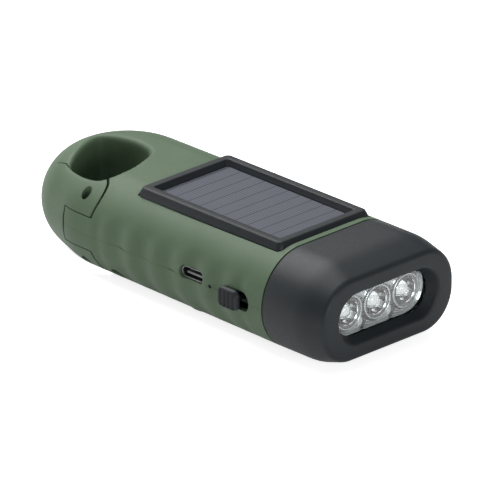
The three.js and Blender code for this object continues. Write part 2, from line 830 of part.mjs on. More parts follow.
function crankLiner() {
  const cup = bar([hubX, hubY], hubRecess + linerWall, [shellWall / 2, linerRoofZ], 36);
  const channel = channelSolid(linerWall, channelZ + linerWall);
  return join(cup, channel);
}

function crankHub() {
  const disc = bar([hubX, hubY], hubRadius, [hubBottom, hubTop], 36);
  const shaft = bar([hubX, hubY], hubShaftRadius, [hubTop - overrun, hubShaftTop], 20);
  const half = armWidth / 2 + armSlotClearance;
  const slot = block([hubX - hubRecess - overrun, hubX + hubRecess + overrun], [hubY - half, hubY + half],
    [-overrun, armInnerZ + visibleGap]);
  const bore = barAlongY([hingeX, hingeZ], hingePinRadius + runGap, [hubY - hubRecess, hubY + hubRecess], 12);
  return cut(join(disc, shaft), slot, bore);
}

function crankArm() {
  const farX = knobX + armWidth;
  const side = new THREE.Shape();
  side.moveTo(hingeX + armRamp, armOuterZ);
  side.lineTo(farX, armOuterZ);
  side.lineTo(farX, armInnerZ);
  side.lineTo(hingeX + armRamp / 2, armInnerZ);
  side.absarc(hingeX, hingeZ, armEyeRadius, Math.PI / 2, 1.75 * Math.PI, false);
  const half = armWidth / 2;
  const plan = new THREE.Shape();
  plan.moveTo(hingeX - armWidth, hubY - half);
  plan.lineTo(knobX, hubY - half);
  plan.absarc(knobX, hubY, half, -Math.PI / 2, Math.PI / 2);
  plan.lineTo(hingeX - armWidth, hubY + half);
  const body = prismAlongY(side, [hubY - half, hubY + half], 8)
    .intersect(prism(plan, [hingeZ - armWidth, armInnerZ + overrun], 10));
  const eye = barAlongY([hingeX, hingeZ], hingePinRadius + runGap / 2,
    [hubY - armWidth, hubY + armWidth], 12);
  const hole = bar([knobX, hubY], axleRadius + runGap, [0, armInnerZ + overrun], 16);
  const sink = bar([knobX, hubY], axleHeadRadius + seatGap, [0, armOuterZ + axleHead + seatGap], 20);
  return cut(body, eye, hole, sink);
}

function crankKnob() {
  const start = armInnerZ + visibleGap;
  const profile = [new THREE.Vector2(axleRadius + runGap, start), new THREE.Vector2(knobRadius, start)];
  for (const degrees of [0, 45, 90]) {
    const [r, z] = polar([knobRadius - knobRound, knobTopZ - knobRound], knobRound, degrees);
    profile.push(new THREE.Vector2(r, z));
  }
  const mouth = knobMouthRadius - knobRound / 2;
  profile.push(new THREE.Vector2(mouth + knobRound / 2, knobTopZ - runGap));
  profile.push(new THREE.Vector2(mouth + knobRound / 2, knobTopZ - knobMouthDepth));
  profile.push(new THREE.Vector2(axleRadius + runGap, knobTopZ - knobMouthDepth));
  profile.push(profile[0].clone());
  const knob = new THREE.LatheGeometry(profile, 20).rotateX(Math.PI / 2);
  return solid(knob.translate(knobX, hubY, 0));
}

function knobAxle() {
  const headZ = armOuterZ + seatGap / 2;
  const head = bar([knobX, hubY], axleHeadRadius, [headZ, headZ + axleHead], 20);
  const rod = bar([knobX, hubY], axleRadius, [headZ + axleHead / 2, knobTopZ - knobMouthDepth + seatGap], 16);
  const cap = bar([knobX, hubY], axleHeadRadius, [knobTopZ - knobMouthDepth + seatGap,
    knobTopZ - knobMouthDepth + seatGap + axleHead], 20);
  return join(head, rod, cap);
}

// Gears
// A tooth's outline goes up one flank from the root to the tip and down the other
function gearShape(teeth, module, phase) {
  const pitchRadius = teeth * module / 2;
  const tip = pitchRadius + module * toothTipShare;
  const root = pitchRadius - module * toothRootShare;
  const pitchStep = 2 * Math.PI / teeth;
  const half = (Math.PI * module / 2 - toothBacklash) / 2 / pitchRadius;
  const lean = Math.tan(THREE.MathUtils.degToRad(20)) * module;
  const points = [];
  for (let i = 0; i < teeth; i++) {
    const middle = phase + i * pitchStep;
    const flank = (radius, share) => [radius, half - lean * share / pitchRadius];
    const outline = [flank(root, -rootLeanShare), flank(tip, tipLeanShare)];
    for (const [radius, angle] of outline) {
      points.push([radius * Math.cos(middle - angle), radius * Math.sin(middle - angle)]);
    }
    for (const [radius, angle] of outline.reverse()) {
      points.push([radius * Math.cos(middle + angle), radius * Math.sin(middle + angle)]);
    }
  }
  return points;
}

function gear([x, y], teeth, module, phase, [z0, z1]) {
  return prism(shapeOf(gearShape(teeth, module, phase).map(([u, v]) => [x + u, y + v])), [z0, z1]);
}

// Turns a gear so that a gap of its teeth meets the driver's tooth along the line of centres
function meshPhase(driverTeeth, driverPhase, teeth, degrees) {
  const line = THREE.MathUtils.degToRad(degrees);
  const driverStep = 2 * Math.PI / driverTeeth;
  const offset = (line - driverPhase) / driverStep;
  const share = offset - Math.floor(offset);
  return line + Math.PI + (0.5 + share) * 2 * Math.PI / teeth;
}

const secondPinionPhase = meshPhase(driveTeeth, 0, pinionTeeth, secondShaftAngle);
const thirdPinionPhase = meshPhase(secondTeeth, secondPinionPhase, pinionTeeth, thirdShaftAngle);
const rotorPhase = meshPhase(thirdTeeth, thirdPinionPhase, rotorTeeth, rotorAngle);
const driveTop = driveBottom + driveFace;
const secondTop = secondBottom + secondFace;
const thirdTop = thirdBottom + thirdFace;

function driveGear() {
  const wheel = gear([hubX, hubY], driveTeeth, coarseModule, 0, [driveBottom, driveTop]);
  return wheel.subtract(bar([hubX, hubY], clutchRadius + runGap, [0, bodyHeight], 32));
}

function compoundGearA() {
  const small = gear(secondSpot, pinionTeeth, coarseModule, secondPinionPhase,
    [driveBottom - pinionOverlap, secondBottom]);
  const large = gear(secondSpot, secondTeeth, fineModule, secondPinionPhase, [secondBottom, secondTop]);
  return join(small, large).subtract(bar(secondSpot, gearShaftRadius + runGap, [0, bodyHeight], 16));
}

function compoundGearB() {
  const small = gear(thirdSpot, pinionTeeth, fineModule, thirdPinionPhase,
    [secondBottom - pinionOverlap, secondTop + pinionOverlap]);
  const neck = bar(thirdSpot, neckRadius, [secondTop, thirdBottom], 20);
  const large = gear(thirdSpot, thirdTeeth, fineModule, thirdPinionPhase, [thirdBottom, thirdTop]);
  return join(small, neck, large).subtract(bar(thirdSpot, gearShaftRadius + runGap, [0, bodyHeight], 16));
}


function rotor() {
  const pinion = gear(rotorSpot, rotorTeeth, fineModule, rotorPhase,
    [thirdBottom - pinionOverlap, thirdTop + pinionOverlap]);
  const drumZ = canBottom + canWall + visibleGap;
  const drum = bar(rotorSpot, magnetRadius, [drumZ, drumZ + magnetHeight], 24);
  const shaft = bar(rotorSpot, rotorShaftRadius, [plateTop - pivotDepth + runGap, ceilingZ - runGap], 12);
  return join(pinion, drum, shaft);
}

function gearPlate() {
  const inner = bayInnerY - bayWall - visibleGap;
  const tailEdge = postSpots[0][0] - postRadius;
  const outline = shapeOf([
    [tailEdge, inner], [plateHeadX, inner], [plateHeadX, postSpots[1][1] - postRadius],
    [secondSpot[0] - plateMargin, postSpots[1][1] - postRadius], [tailEdge, postSpots[0][1] - postRadius],
  ]);
  let plate = prism(outline, [plateBottom, plateTop]);
  for (const degrees of canStandAngles) {
    const spot = polar(rotorSpot, canRadius - 2 * canWall, degrees);
    plate = plate.add(bar(spot, canStandRadius, [plateBottom, canBottom - runGap], 10));
  }
  const shaftHole = bar(secondSpot, gearShaftRadius + runGap,
    [plateBottom - overrun, plateTop - pivotDepth], 16);
  const neckHole = bar(thirdSpot, neckRadius + plateHoleGap, [0, bodyHeight], 20);
  const pivotHole = bar(rotorSpot, rotorShaftRadius + runGap, [plateTop - pivotDepth, bodyHeight], 12);
  const screwHoles = postSpots.map((spot) => bar(spot, plateScrewRadius + runGap, [0, bodyHeight], 12));
  return cut(plate, shaftHole, neckHole, pivotHole, ...screwHoles);
}

function plateScrew(spot) {
  const head = bar(spot, plateScrewHeadRadius, [plateTop + runGap / 2, plateTop + plateScrewHead], 12);
  return head.add(bar(spot, plateScrewRadius,
    [plateTop - plateScrewLength, plateTop + plateScrewHead / 2], 12));
}

function generatorCan() {
  const cup = bar(rotorSpot, canRadius, [canBottom, canBottom + canHeight], 32);
  const inside = bar(rotorSpot, canRadius - canWall, [canBottom + canWall, bodyHeight], 32);
  return cut(cup, inside, bar(rotorSpot, canHole, [0, bodyHeight], 20));
}

function winding() {
  const start = canBottom + canWall + runGap;
  const ring = bar(rotorSpot, canRadius - canWall - seatGap, [start, start + windingHeight], 28);
  return ring.subtract(bar(rotorSpot, windingInner, [0, bodyHeight], 24));
}

function oneWayBearing() {
  const ring = bar([hubX, hubY], clutchRadius, [driveBottom, driveTop], 32);
  return ring.subtract(bar([hubX, hubY], hubShaftRadius + runGap / 2, [0, bodyHeight], 20));
}

// Snap ring with its opening towards the tail
function hubClip() {
  const z = driveTop + visibleGap;
  const ring = bar([hubX, hubY], clipRadius, [z, z + clipThickness], 24);
  const bore = bar([hubX, hubY], hubShaftRadius + runGap / 2, [0, bodyHeight], 20);
  const mouth = block([hubX - 2 * clipRadius, hubX], [hubY - hubShaftRadius / 2, hubY + hubShaftRadius / 2],
    [0, bodyHeight]);
  return cut(ring, bore, mouth);
}

function gearShaft(spot, topZ) {
  return bar(spot, gearShaftRadius, [driveBottom - shaftSink, topZ], 12);
}

// Battery bay, cell, contacts and door
const cellHeadX = bayTailX + contactThickness + seatGap + cellLength + cellTip;

function batteryCell() {
  const start = bayTailX + contactThickness + seatGap;
  const can = barAlongX([cellY, cellZ], cellRadius, [start, start + cellLength], 28);
  return can.add(barAlongX([cellY, cellZ], cellTipRadius, [start + cellLength, cellHeadX], 16));
}

function batteryContact() {
  const half = contactSize / 2;
  return block([bayTailX + runGap, bayTailX + contactThickness], [cellY - half, cellY + half],
    [cellZ - half, cellZ + half]);
}

// Conical spring from the bay's head wall to the cell's tip
function batterySpring() {
  const base = new THREE.Vector3(bayHeadX - coilWire / 2 - seatGap, cellY, cellZ);
  const height = cellHeadX + coilWire / 2 + seatGap - base.x;
  return helix(base, coilBaseRadius, coilTipRadius, height, coilTurns, coilWire, true);
}

// The door reaches from its straight inner edge round the side of the body
function doorBlock(grow, topZ) {
  return block([doorTailX - grow, doorHeadX + grow], [doorEdgeY - grow, farOut], [-overrun, topZ]);
}

function doorTab(grow, topZ) {
  return bar([doorTabX, doorEdgeY], doorTabRadius + grow, [-overrun, topZ], 24);
}

const innerBody = slab(shellWall, { endX: headX });

function batteryDoor() {
  const cover = wholeBody.intersect(doorBlock(0, doorTopZ));
  const hollow = innerBody.intersect(block([tailX, noseX], [0, farOut], [0, bodyHeight]));
  const tab = wholeBody.intersect(doorTab(0, doorTabThickness));
  return cut(cover, hollow).add(tab);
}

function doorFoam() {
  const outer = slab(shellWall + seatGap, { endX: headX });
  const inner = slab(shellWall + seatGap + foamThickness, { endX: headX });
  return cut(outer.intersect(block([foamX - foamLength / 2, foamX + foamLength / 2], [cellY, farOut],
    [foamLowZ, foamHighZ])), inner);
}

// Board and what it carries
const boardTop = boardZ + boardThickness;
const usbZ = boardTop + usbHeight / 2;
const usbFrontY = usbSetback + sideY(usbX, fluteAt(usbX));
const lightFrontY = usbSetback + sideY(lightX, fluteAt(lightX));

function mainBoard() {
  return block([boardTailX, boardHeadX], [boardOuterY, boardInnerY], [boardZ, boardTop]);
}

function usbPort() {
  const place = (y) => (x, z) => new THREE.Vector3(x, y, z);
  const ring = (y, trim) => rectRing(place(y), usbX, usbZ, usbWidth - 2 * trim, usbHeight - 2 * trim,
    usbHeight / 2 - trim - runGap / 2, 4);
  const backY = usbFrontY + usbDepth;
  const shell = skin([ring(usbFrontY, 0), ring(backY, 0)]);
  const mouth = skin([ring(usbFrontY - overrun, usbWall), ring(backY - usbBack, usbWall)]);
  const tongue = block([usbX - usbTongueWidth / 2, usbX + usbTongueWidth / 2],
    [usbFrontY + usbBack, backY - usbBack / 2], [usbZ - usbTongueHeight / 2, usbZ + usbTongueHeight / 2]);
  return cut(shell, mouth).add(tongue);
}

function chargeLight() {
  const z = boardTop + lightRadius + runGap;
  const pipe = barAlongY([lightX, z], lightRadius, [lightFrontY, boardOuterY + lightBlock / 2], 10);
  const lampBlock = block([lightX - lightBlock / 2, lightX + lightBlock / 2],
    [boardOuterY + lightBlock / 4, boardOuterY + 2 * lightBlock], [boardTop, boardTop + lightBlock]);
  return pipe.add(lampBlock);
}

const switchX = slotTailX + switchKnobLength / 2;
const fingerTopZ = boardTop + switchFinger;
const switchBodyX = (slotTailX + slotHeadX) / 2;

// Slide knob: ribbed face outside the slot, a stem through it and a flange behind the wall
function switchKnob() {
  const outerY = -halfWidth - switchKnobProud;
  const faceY = -halfWidth - runGap;
  const lift = (y) => (x, z) => new THREE.Vector3(x, y, z);
  const cap = (y, trim) => rectRing(lift(y), switchX, slotZ, switchKnobLength - 2 * trim,
    switchKnobHeight - 2 * trim, switchKnobCorner - trim, 5);
  let knob = skin([cap(faceY, 0), cap(outerY + switchRibDepth, 0), cap(outerY, 2 * runGap)]);
  const pitch = switchKnobLength / (switchRibs + 1);
  for (let i = 0; i < switchRibs; i++) {
    const x = switchX - switchKnobLength / 2 + (i + 1) * pitch;
    knob = knob.subtract(block([x - pitch / 4, x + pitch / 4], [outerY - overrun, outerY + switchRibDepth],
      [0, bodyHeight]));
  }
  const stemEndY = boardOuterY - visibleGap;
  const stem = block([switchX - switchStemLength / 2, switchX + switchStemLength / 2],
    [faceY - runGap, stemEndY], [slotZ - switchStemHeight / 2, slotZ + switchStemHeight / 2]);
  const finger = block([switchX - switchFinger / 2, switchX + switchFinger / 2],
    [stemEndY - switchFinger / 2, boardOuterY + switchFinger / 2], [boardTop + visibleGap, fingerTopZ]);
  return join(knob, stem, finger);
}

function switchBody() {
  const frontY = boardOuterY + seatGap;
  const body = block([switchBodyX - switchBodyLength / 2, switchBodyX + switchBodyLength / 2],
    [frontY, frontY + switchBodyDepth], [boardTop, boardTop + switchBodyHeight]);
  const slot = block([switchX - switchFinger, switchX + switchFinger + switchTravel],
    [boardOuterY - overrun, boardOuterY + switchFinger], [boardTop - overrun, fingerTopZ + visibleGap]);
  return body.subtract(slot);
}

function sideCutouts() {
  const through = [-halfWidth - overrun, -halfWidth + shellWall + fluteDepth + overrun];
  const slot = prismAlongY(roundedRect((slotTailX + slotHeadX) / 2, slotZ, slotHeadX - slotTailX, slotHeight,
    slotHeight / 2 - runGap), through, 6);
  const socket = prismAlongY(roundedRect(usbX, usbZ, usbWidth + 2 * visibleGap, usbHeight + 2 * visibleGap,
    usbHeight / 2), through, 5);
  const light = barAlongY([lightX, boardTop + lightRadius + runGap], lightRadius + runGap, through, 10);
  return [slot, socket, light];
}

// Screws that hold the two shells together
const caseScrews = [
  { spot: [tailScrewX, -tailScrewY], seat: screwTubeSeat, top: partingZ - runGap, length: screwLength },
  { spot: [tailScrewX, tailScrewY], seat: screwTubeSeat, top: partingZ - runGap, length: screwLength },
  { spot: [channelScrewX, hubY], seat: channelZ + channelScrewRise, top: linerRoofZ, length: screwLength },
  { spot: [bayScrewX, bayScrewY], seat: bayRoofZ, top: bayRoofZ + bayRoof, length: bayScrewLength },
];

function caseScrew({ spot, seat, length }) {
  const head = bar(spot, screwHeadRadius, [seat - screwHeadHeight - runGap, seat - runGap], 14);
  return head.add(bar(spot, screwShankRadius, [seat - screwHeadHeight / 2, seat + length], 10));
}

// Shells
// The room starts behind the loop's hole and steps back again beside the gate's pin
function cavity() {
  const front = slab(spigotInner, { endX: spigotEndX + overrun })
    .intersect(block([headX - shellWall - overrun, noseX], [-farOut, farOut], [0, bodyHeight]));
  const gateSide = gatePinX + leafRadius + hingeGap + gateBulkhead;
  const holeFront = tailCentreX + loopHeadShare * tailRadius + loopRimRadius + bulkhead / 2;
  const room = prism(shapeOf([
    [holeFront, -roomBesideHoleShare * tailRadius], [gateSide, -roomBesideGateShare * tailRadius], [gateSide, -farOut],
    [headX - shellWall, -farOut], [headX - shellWall, farOut], [holeFront, farOut],
  ]), fullHeight);
  return join(innerBody.intersect(room), front);
}

// The spigot is the slab drawn in by the bezel's wall, beyond the head line
function shellBlank() {
  const spigot = slab(shellWall + visibleGap, { endX: spigotEndX })
    .intersect(block([headX - overrun, spigotEndX], [-farOut, farOut], [0, bodyHeight]));
  return join(ringBody, spigot);
}

const hollowBody = cut(shellBlank(), gateOpening,
  bar(gatePin, gatePinRadius + runGap, fullHeight), bar(gatePin, springWellRadius,
    [lugHighZ - springWellDepth, lugHighZ + overrun]));
const roomInside = cavity();

function framePocket() {
  return prism(roundedRect(frameX, 0, frameLength + 2 * seatGap, frameWidth + 2 * seatGap, frameCorner),
    [frameSeat, frameTop + overrun], 3);
}

function upperShell() {
  const above = block([tailX - overrun, noseX], [-farOut, farOut], [partingZ + runGap, frameTop]);
  const room = cut(roomInside, block(
    [frameX - frameLength / 2 - bulkhead, frameX + frameLength / 2 + bulkhead],
    [-farOut, farOut], [ceilingZ, bodyHeight]));
  const posts = caseScrews.map(({ spot, top }) => bar(spot, screwBossRadius - runGap,
    [Math.max(top, partingZ) + seatGap, bodyHeight], 16).intersect(insideWall));
  const pivotBoss = bar(rotorSpot, pivotBossRadius, [ceilingZ - pivotDepth, ceilingZ + overrun], 16);
  const pivotHole = bar(rotorSpot, rotorShaftRadius + runGap, [0, ceilingZ], 12);
  const screwHoles = caseScrews.map(({ spot, seat, length }) => bar(spot, screwShankRadius + runGap,
    [0, seat + length + seatGap], 10));
  const leadHole = bar([frameX, 0], leadHoleRadius, [0, frameTop], 12);
  return cut(join(cut(hollowBody.intersect(above), room), pivotBoss, ...posts),
    framePocket(), pivotHole, leadHole, ...screwHoles, ...sideCutouts());
}

function batteryBay(grow) {
  const top = bayRoofZ + Math.min(grow, bayRoof);
  return block([bayTailX - grow, bayHeadX + grow], [bayInnerY - grow, farOut], [0, top]);
}

// What stands inside the lower shell joins its wall below the seam and clears the upper shell above it
const insideWall = slab(shellWall / 2, { endX: headX });
const clearOfWall = join(
  slab(shellWall + visibleGap, { endX: headX }).subtract(block([headX - shellWall - visibleGap, noseX],
    [-farOut, farOut], [0, bodyHeight])),
  slab(spigotInner + visibleGap, { endX: headX }));

function lowerShell() {
  const below = block([tailX - overrun, noseX], [-farOut, farOut], [-overrun, partingZ - runGap]);
  const bayWalls = cut(batteryBay(bayWall), batteryBay(0));
  const posts = postSpots.map((spot) => bar(spot, postRadius, [0, plateBottom - runGap], 14));
  const boardPosts = boardPostX.map((x) => bar([x, (boardOuterY + boardInnerY) / 2], boardPostRadius,
    [0, boardZ - runGap], 12));
  const tubes = caseScrews.map(({ spot, top }) => bar(spot, screwBossRadius, [0, top], 18));
  const inside = join(bayWalls, crankLiner(), ...posts, ...boardPosts, ...tubes,
    bar(secondSpot, bossRadius, [0, driveBottom - pinionOverlap - seatGap], 16),
    bar(thirdSpot, bossRadius, [0, secondBottom - pinionOverlap - seatGap], 16));
  const shell = join(cut(hollowBody.intersect(below), roomInside),
    insideWall.intersect(below).intersect(inside), clearOfWall.intersect(inside));
  const screwHoles = caseScrews.flatMap(({ spot, seat }) => [
    bar(spot, screwShankRadius + seatGap, [0, bodyHeight], 10),
    bar(spot, screwHeadRadius + seatGap, [-overrun, seat], 18),
  ]);
  const plateHoles = postSpots.map((spot) => bar(spot, plateScrewRadius + runGap,
    [plateTop - plateScrewLength - seatGap, bodyHeight], 12));
  const shaftHoles = [secondSpot, thirdSpot].map((spot) => bar(spot, gearShaftRadius + runGap / 2,
    [driveBottom - shaftSink - runGap, bodyHeight], 12));
  const doorway = join(cut(doorBlock(visibleGap, doorTopZ + visibleGap), clearOfWall.intersect(bayWalls)),
    doorTab(visibleGap, doorTabThickness + visibleGap));
  return cut(shell, crankPocket(), bar([hubX, hubY], hubShaftRadius + runGap, [0, bodyHeight], 20),
    doorway, innerBody.intersect(batteryBay(0)), ...screwHoles, ...plateHoles, ...shaftHoles,
    ...sideCutouts());
}

function gateSpring() {
  const base = new THREE.Vector3(gatePinX, gatePinY, lugHighZ - springWellDepth + springWire);
  return helix(base, gatePinRadius + springWire, gatePinRadius + springWire,
    springWellDepth - 2 * springWire, springTurns - 1, springWire, false);
}

const object = new THREE.Group();

function piece(name, body, look) {
  const mesh = new THREE.Mesh(geometryOf(body), new THREE.MeshStandardMaterial(colours[look]));
  mesh.name = name;
  object.add(mesh);
}

piece('upper_shell', upperShell(), 'green');
piece('lower_shell', lowerShell(), 'green');
piece('carabiner_gate', carabinerGate(), 'green');
piece('gate_pin', bar(gatePin, gatePinRadius, [gatePinInset, bodyHeight - gatePinInset], 16), 'steel');
piece('gate_spring', gateSpring(), 'steel');
piece('solar_frame', solarFrame(), 'black');
piece('solar_panel', solarPanel(), 'cells');
piece('head_bezel', headBezel(), 'black');
piece('lens', lens(), 'clear');
piece('reflector', reflector(), 'chrome');
cupOffsets.forEach((y, i) => piece(`lamp_${i + 1}`, lamp(y), 'clear'));
piece('lamp_board', lampBoard(), 'board');
piece('crank_hub', crankHub(), 'black');
piece('crank_hinge_pin', barAlongY([hingeX, hingeZ], hingePinRadius, [hubY - hingePinLength / 2,
  hubY + hingePinLength / 2], 12), 'steel');
piece('crank_arm', crankArm(), 'black');
piece('crank_knob', crankKnob(), 'black');
piece('knob_axle', knobAxle(), 'steel');
piece('one_way_bearing', oneWayBearing(), 'steel');
piece('hub_clip', hubClip(), 'steel');
piece('drive_gear', driveGear(), 'nylon');
piece('compound_gear_a', compoundGearA(), 'nylon');
piece('compound_gear_b', compoundGearB(), 'nylon');
piece('gear_shaft_a', gearShaft(secondSpot, plateTop - pivotDepth - runGap), 'steel');
piece('gear_shaft_b', gearShaft(thirdSpot, thirdTop + seatGap), 'steel');
piece('gear_plate', gearPlate(), 'nylon');
postSpots.forEach((spot, i) => piece(`plate_screw_${i + 1}`, plateScrew(spot), 'steel'));
piece('rotor', rotor(), 'steel');
piece('generator_can', generatorCan(), 'steel');
piece('winding', winding(), 'copper');
piece('battery', batteryCell(), 'cell');
piece('battery_spring', batterySpring(), 'steel');
piece('battery_contact', batteryContact(), 'steel');
piece('battery_door', batteryDoor(), 'green');
piece('door_foam', doorFoam(), 'foam');
piece('main_board', mainBoard(), 'board');
piece('usb_port', usbPort(), 'chrome');
piece('charge_light', chargeLight(), 'clear');
piece('switch_body', switchBody(), 'black');
piece('switch_knob', switchKnob(), 'black');
caseScrews.forEach((screw, i) => piece(`case_screw_${i + 1}`, caseScrew(screw), 'steel'));

export default object;
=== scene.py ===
"""Hand crank and solar flashlight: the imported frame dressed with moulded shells, head, panel and lamps."""
import json
import math

import bpy
import numpy as np
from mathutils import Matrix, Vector


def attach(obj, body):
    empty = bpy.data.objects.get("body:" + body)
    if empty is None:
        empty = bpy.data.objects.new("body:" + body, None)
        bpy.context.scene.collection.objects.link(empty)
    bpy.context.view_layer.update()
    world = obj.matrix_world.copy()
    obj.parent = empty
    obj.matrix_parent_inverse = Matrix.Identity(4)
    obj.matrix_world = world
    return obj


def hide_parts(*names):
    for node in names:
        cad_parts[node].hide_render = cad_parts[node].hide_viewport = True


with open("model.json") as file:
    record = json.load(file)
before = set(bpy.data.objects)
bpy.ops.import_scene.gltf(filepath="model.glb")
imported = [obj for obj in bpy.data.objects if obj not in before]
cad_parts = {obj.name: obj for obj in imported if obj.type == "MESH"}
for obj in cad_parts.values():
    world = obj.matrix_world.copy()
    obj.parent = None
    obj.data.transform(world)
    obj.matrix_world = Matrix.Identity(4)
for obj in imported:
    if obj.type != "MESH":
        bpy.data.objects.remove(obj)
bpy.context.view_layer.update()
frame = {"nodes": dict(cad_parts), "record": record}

MM = 0.001
TURN = 2 * math.pi
# What a divisor never falls below: a length, and a triangle's area
TINY = 1e-9
TINY_AREA = 1e-12

# The body's sizes, in millimetres, as in the CAD source
BODY_HEIGHT = 30.8
HALF_WIDTH = 27.8
ROUND = BODY_HEIGHT / 2
HEAD_X = 42.0
NOSE_X = 65.5
# The tail's outline is two circles (x, y, radius): one round its far side and end, one on its near side
FAR_CIRCLE = (-44.0, 2.0, 25.0)
NEAR_CIRCLE = (-36.0, -1.5, 24.5)
FLUTE_PITCH = 10.7
FLUTE_DEPTH = 0.8
FLUTE_RIDGE_X = -13.7
FLUTE_START_X, FLUTE_END_X, FLUTE_FADE = -30.5, 36.0, 5.0
# Angles from the widest line at which the flutes end: in the CAD, and as seen above and below that line
FLUTE_SPREAD, FLUTE_SOFTNESS = 52.0, 20.0
SEEN_SPREAD_ABOVE, SEEN_SPREAD_BELOW = 36.0, 62.0
# How far the loop hole's rim is rounded: in the CAD, and as seen
CAD_RIM_ROUND, RIM_ROUND = 2.6, 1.6
# The loop hole's outline goes through these points, in shares of the far circle's radius from its middle
LOOP_SHARES = np.array([
    (-0.228, -0.672), (-0.304, -0.556), (-0.392, -0.364), (-0.46, -0.184), (-0.48, 0.024), (-0.308, 0.132),
    (-0.052, 0.196), (0.168, 0.16), (0.296, 0.064), (0.376, -0.12), (0.46, -0.424), (0.456, -0.64),
    (0.368, -0.756), (0.192, -0.788), (-0.08, -0.732)])
# Height at which the two shells meet
SEAM_Z = ROUND


def smooth(value):
    """Smoothstep from 0 to 1."""
    t = np.clip(value, 0, 1)
    return t * t * (3 - 2 * t)


# Shape of the body, as functions that are zero on its surface
def leaving_side(circle, side):
    """Direction in which a side line that touches a tail circle faces, in radians."""
    x, y, radius = circle
    along, across = HEAD_X - x, side * HALF_WIDTH - y
    return math.atan2(across, along) + side * math.acos(radius / math.hypot(along, across))


def leaving_both(first, second):
    """Direction in which the line that touches both circles on the near side faces, in radians."""
    along, across = second[0] - first[0], second[1] - first[1]
    return math.atan2(across, along) - math.acos((first[2] - second[2]) / math.hypot(along, across))


FAR_SIDE = leaving_side(FAR_CIRCLE, 1)
NEAR_SIDE = leaving_side(NEAR_CIRCLE, -1)
JOIN = leaving_both(FAR_CIRCLE, NEAR_CIRCLE)


def plan_depth(x, y):
    """Distance inside the outline seen from above: the least of those to its lines and its circles' arcs."""
    depth = np.where(x > HEAD_X, HALF_WIDTH - np.abs(y), np.inf)
    for (cx, cy, radius), lines, start, end in (
            (FAR_CIRCLE, (FAR_SIDE, JOIN), FAR_SIDE, JOIN + TURN),
            (NEAR_CIRCLE, (NEAR_SIDE,), JOIN + TURN, NEAR_SIDE + TURN)):
        for facing in lines:
            line = radius - ((x - cx) * math.cos(facing) + (y - cy) * math.sin(facing))
            depth = np.where(x > HEAD_X, depth, np.minimum(depth, line))
        direction = np.arctan2(y - cy, x - cx) % TURN
        on_arc = (direction > start) & (direction < end)
        depth = np.where(on_arc, np.minimum(depth, radius - np.hypot(x - cx, y - cy)), depth)
    return depth


def flute(x):
    """Depth of the finger flutes at x: a cosine of one pitch that fades out at both ends."""
    groove = (1 - np.cos(TURN * (x - FLUTE_RIDGE_X) / FLUTE_PITCH)) / 2
    return (FLUTE_DEPTH * groove * smooth((x - FLUTE_START_X) / FLUTE_FADE)
            * smooth((FLUTE_END_X - x) / FLUTE_FADE))


def body_field(p, above=FLUTE_SPREAD, below=FLUTE_SPREAD):
    """Positive inside the body: its side is a half circle of its half height, less the flutes' depth. The
    flutes end at an angle above the widest line and at one below it."""
    x, y, z = p.T
    across = np.maximum(ROUND - plan_depth(x, y), 0)
    angle = np.degrees(np.arctan2(np.abs(z - ROUND), across + TINY))
    spread = np.where(z > ROUND, above, below)
    share = smooth((spread - angle) / FLUTE_SOFTNESS) * (across > 0)
    return ROUND - flute(x) * share * np.cos(np.radians(angle)) - np.hypot(across, z - ROUND)


def loop_curve(steps=16):
    """Closed centripetal Catmull-Rom curve through the loop's points."""
    pts = np.array(FAR_CIRCLE[:2]) + LOOP_SHARES * FAR_CIRCLE[2]
    p0, p1, p2, p3 = (np.roll(pts, k, axis=0)[:, None] for k in (1, 0, -1, -2))
    d0, d1, d2 = (np.linalg.norm(b - a, axis=2, keepdims=True) ** 0.5
                  for a, b in ((p0, p1), (p1, p2), (p2, p3)))
    t1 = ((p1 - p0) / d0 - (p2 - p0) / (d0 + d1) + (p2 - p1) / d1) * d1
    t2 = ((p2 - p1) / d1 - (p3 - p1) / (d1 + d2) + (p3 - p2) / d2) * d1
    t = np.linspace(0, 1, steps, endpoint=False)[None, :, None]
    c2, c3 = -3 * p1 + 3 * p2 - 2 * t1 - t2, 2 * p1 - 2 * p2 + t1 + t2
    return (p1 + t1 * t + c2 * t ** 2 + c3 * t ** 3).reshape(-1, 2)


LOOP = loop_curve()


def loop_distance(x, y, reach=8.0):
    """Signed distance to the loop's outline, positive in the material round it, and never over its reach."""
    low, high = LOOP.min(0) - reach, LOOP.max(0) + reach
    close = (x > low[0]) & (x < high[0]) & (y > low[1]) & (y < high[1])
    distance = np.full(len(x), reach)
    distance[close] = np.minimum(nearby_loop_distance(np.c_[x, y][close]), reach)
    return distance


def nearby_loop_distance(points):
    """The same for points close to the hole, from the nearest of the outline's straight steps."""
    if not len(points):
        return np.zeros(0)
    a, b = LOOP, np.roll(LOOP, -1, axis=0)
    q = points[:, None]
    t = np.clip(((q - a) * (b - a)).sum(2) / ((b - a) ** 2).sum(1), 0, 1)
    off = q - (a + t[..., None] * (b - a))
    near = np.linalg.norm(off, axis=2)
    k = near.argmin(1)
    rows = np.arange(len(k))
    along, away = (b - a)[k], off[rows, k]
    return near[rows, k] * np.sign(along[:, 0] * away[:, 1] - along[:, 1] * away[:, 0])


def flared_loop(p, rim=CAD_RIM_ROUND):
    """The CAD's hole: its wall, rounded over towards the top and bottom by a quarter circle."""
    out = loop_distance(p[:, 0], p[:, 1])
    low = np.minimum(p[:, 2], BODY_HEIGHT - p[:, 2])
    corner = rim - np.hypot(rim - out, rim - low)
    return np.where(low < rim, corner, out)


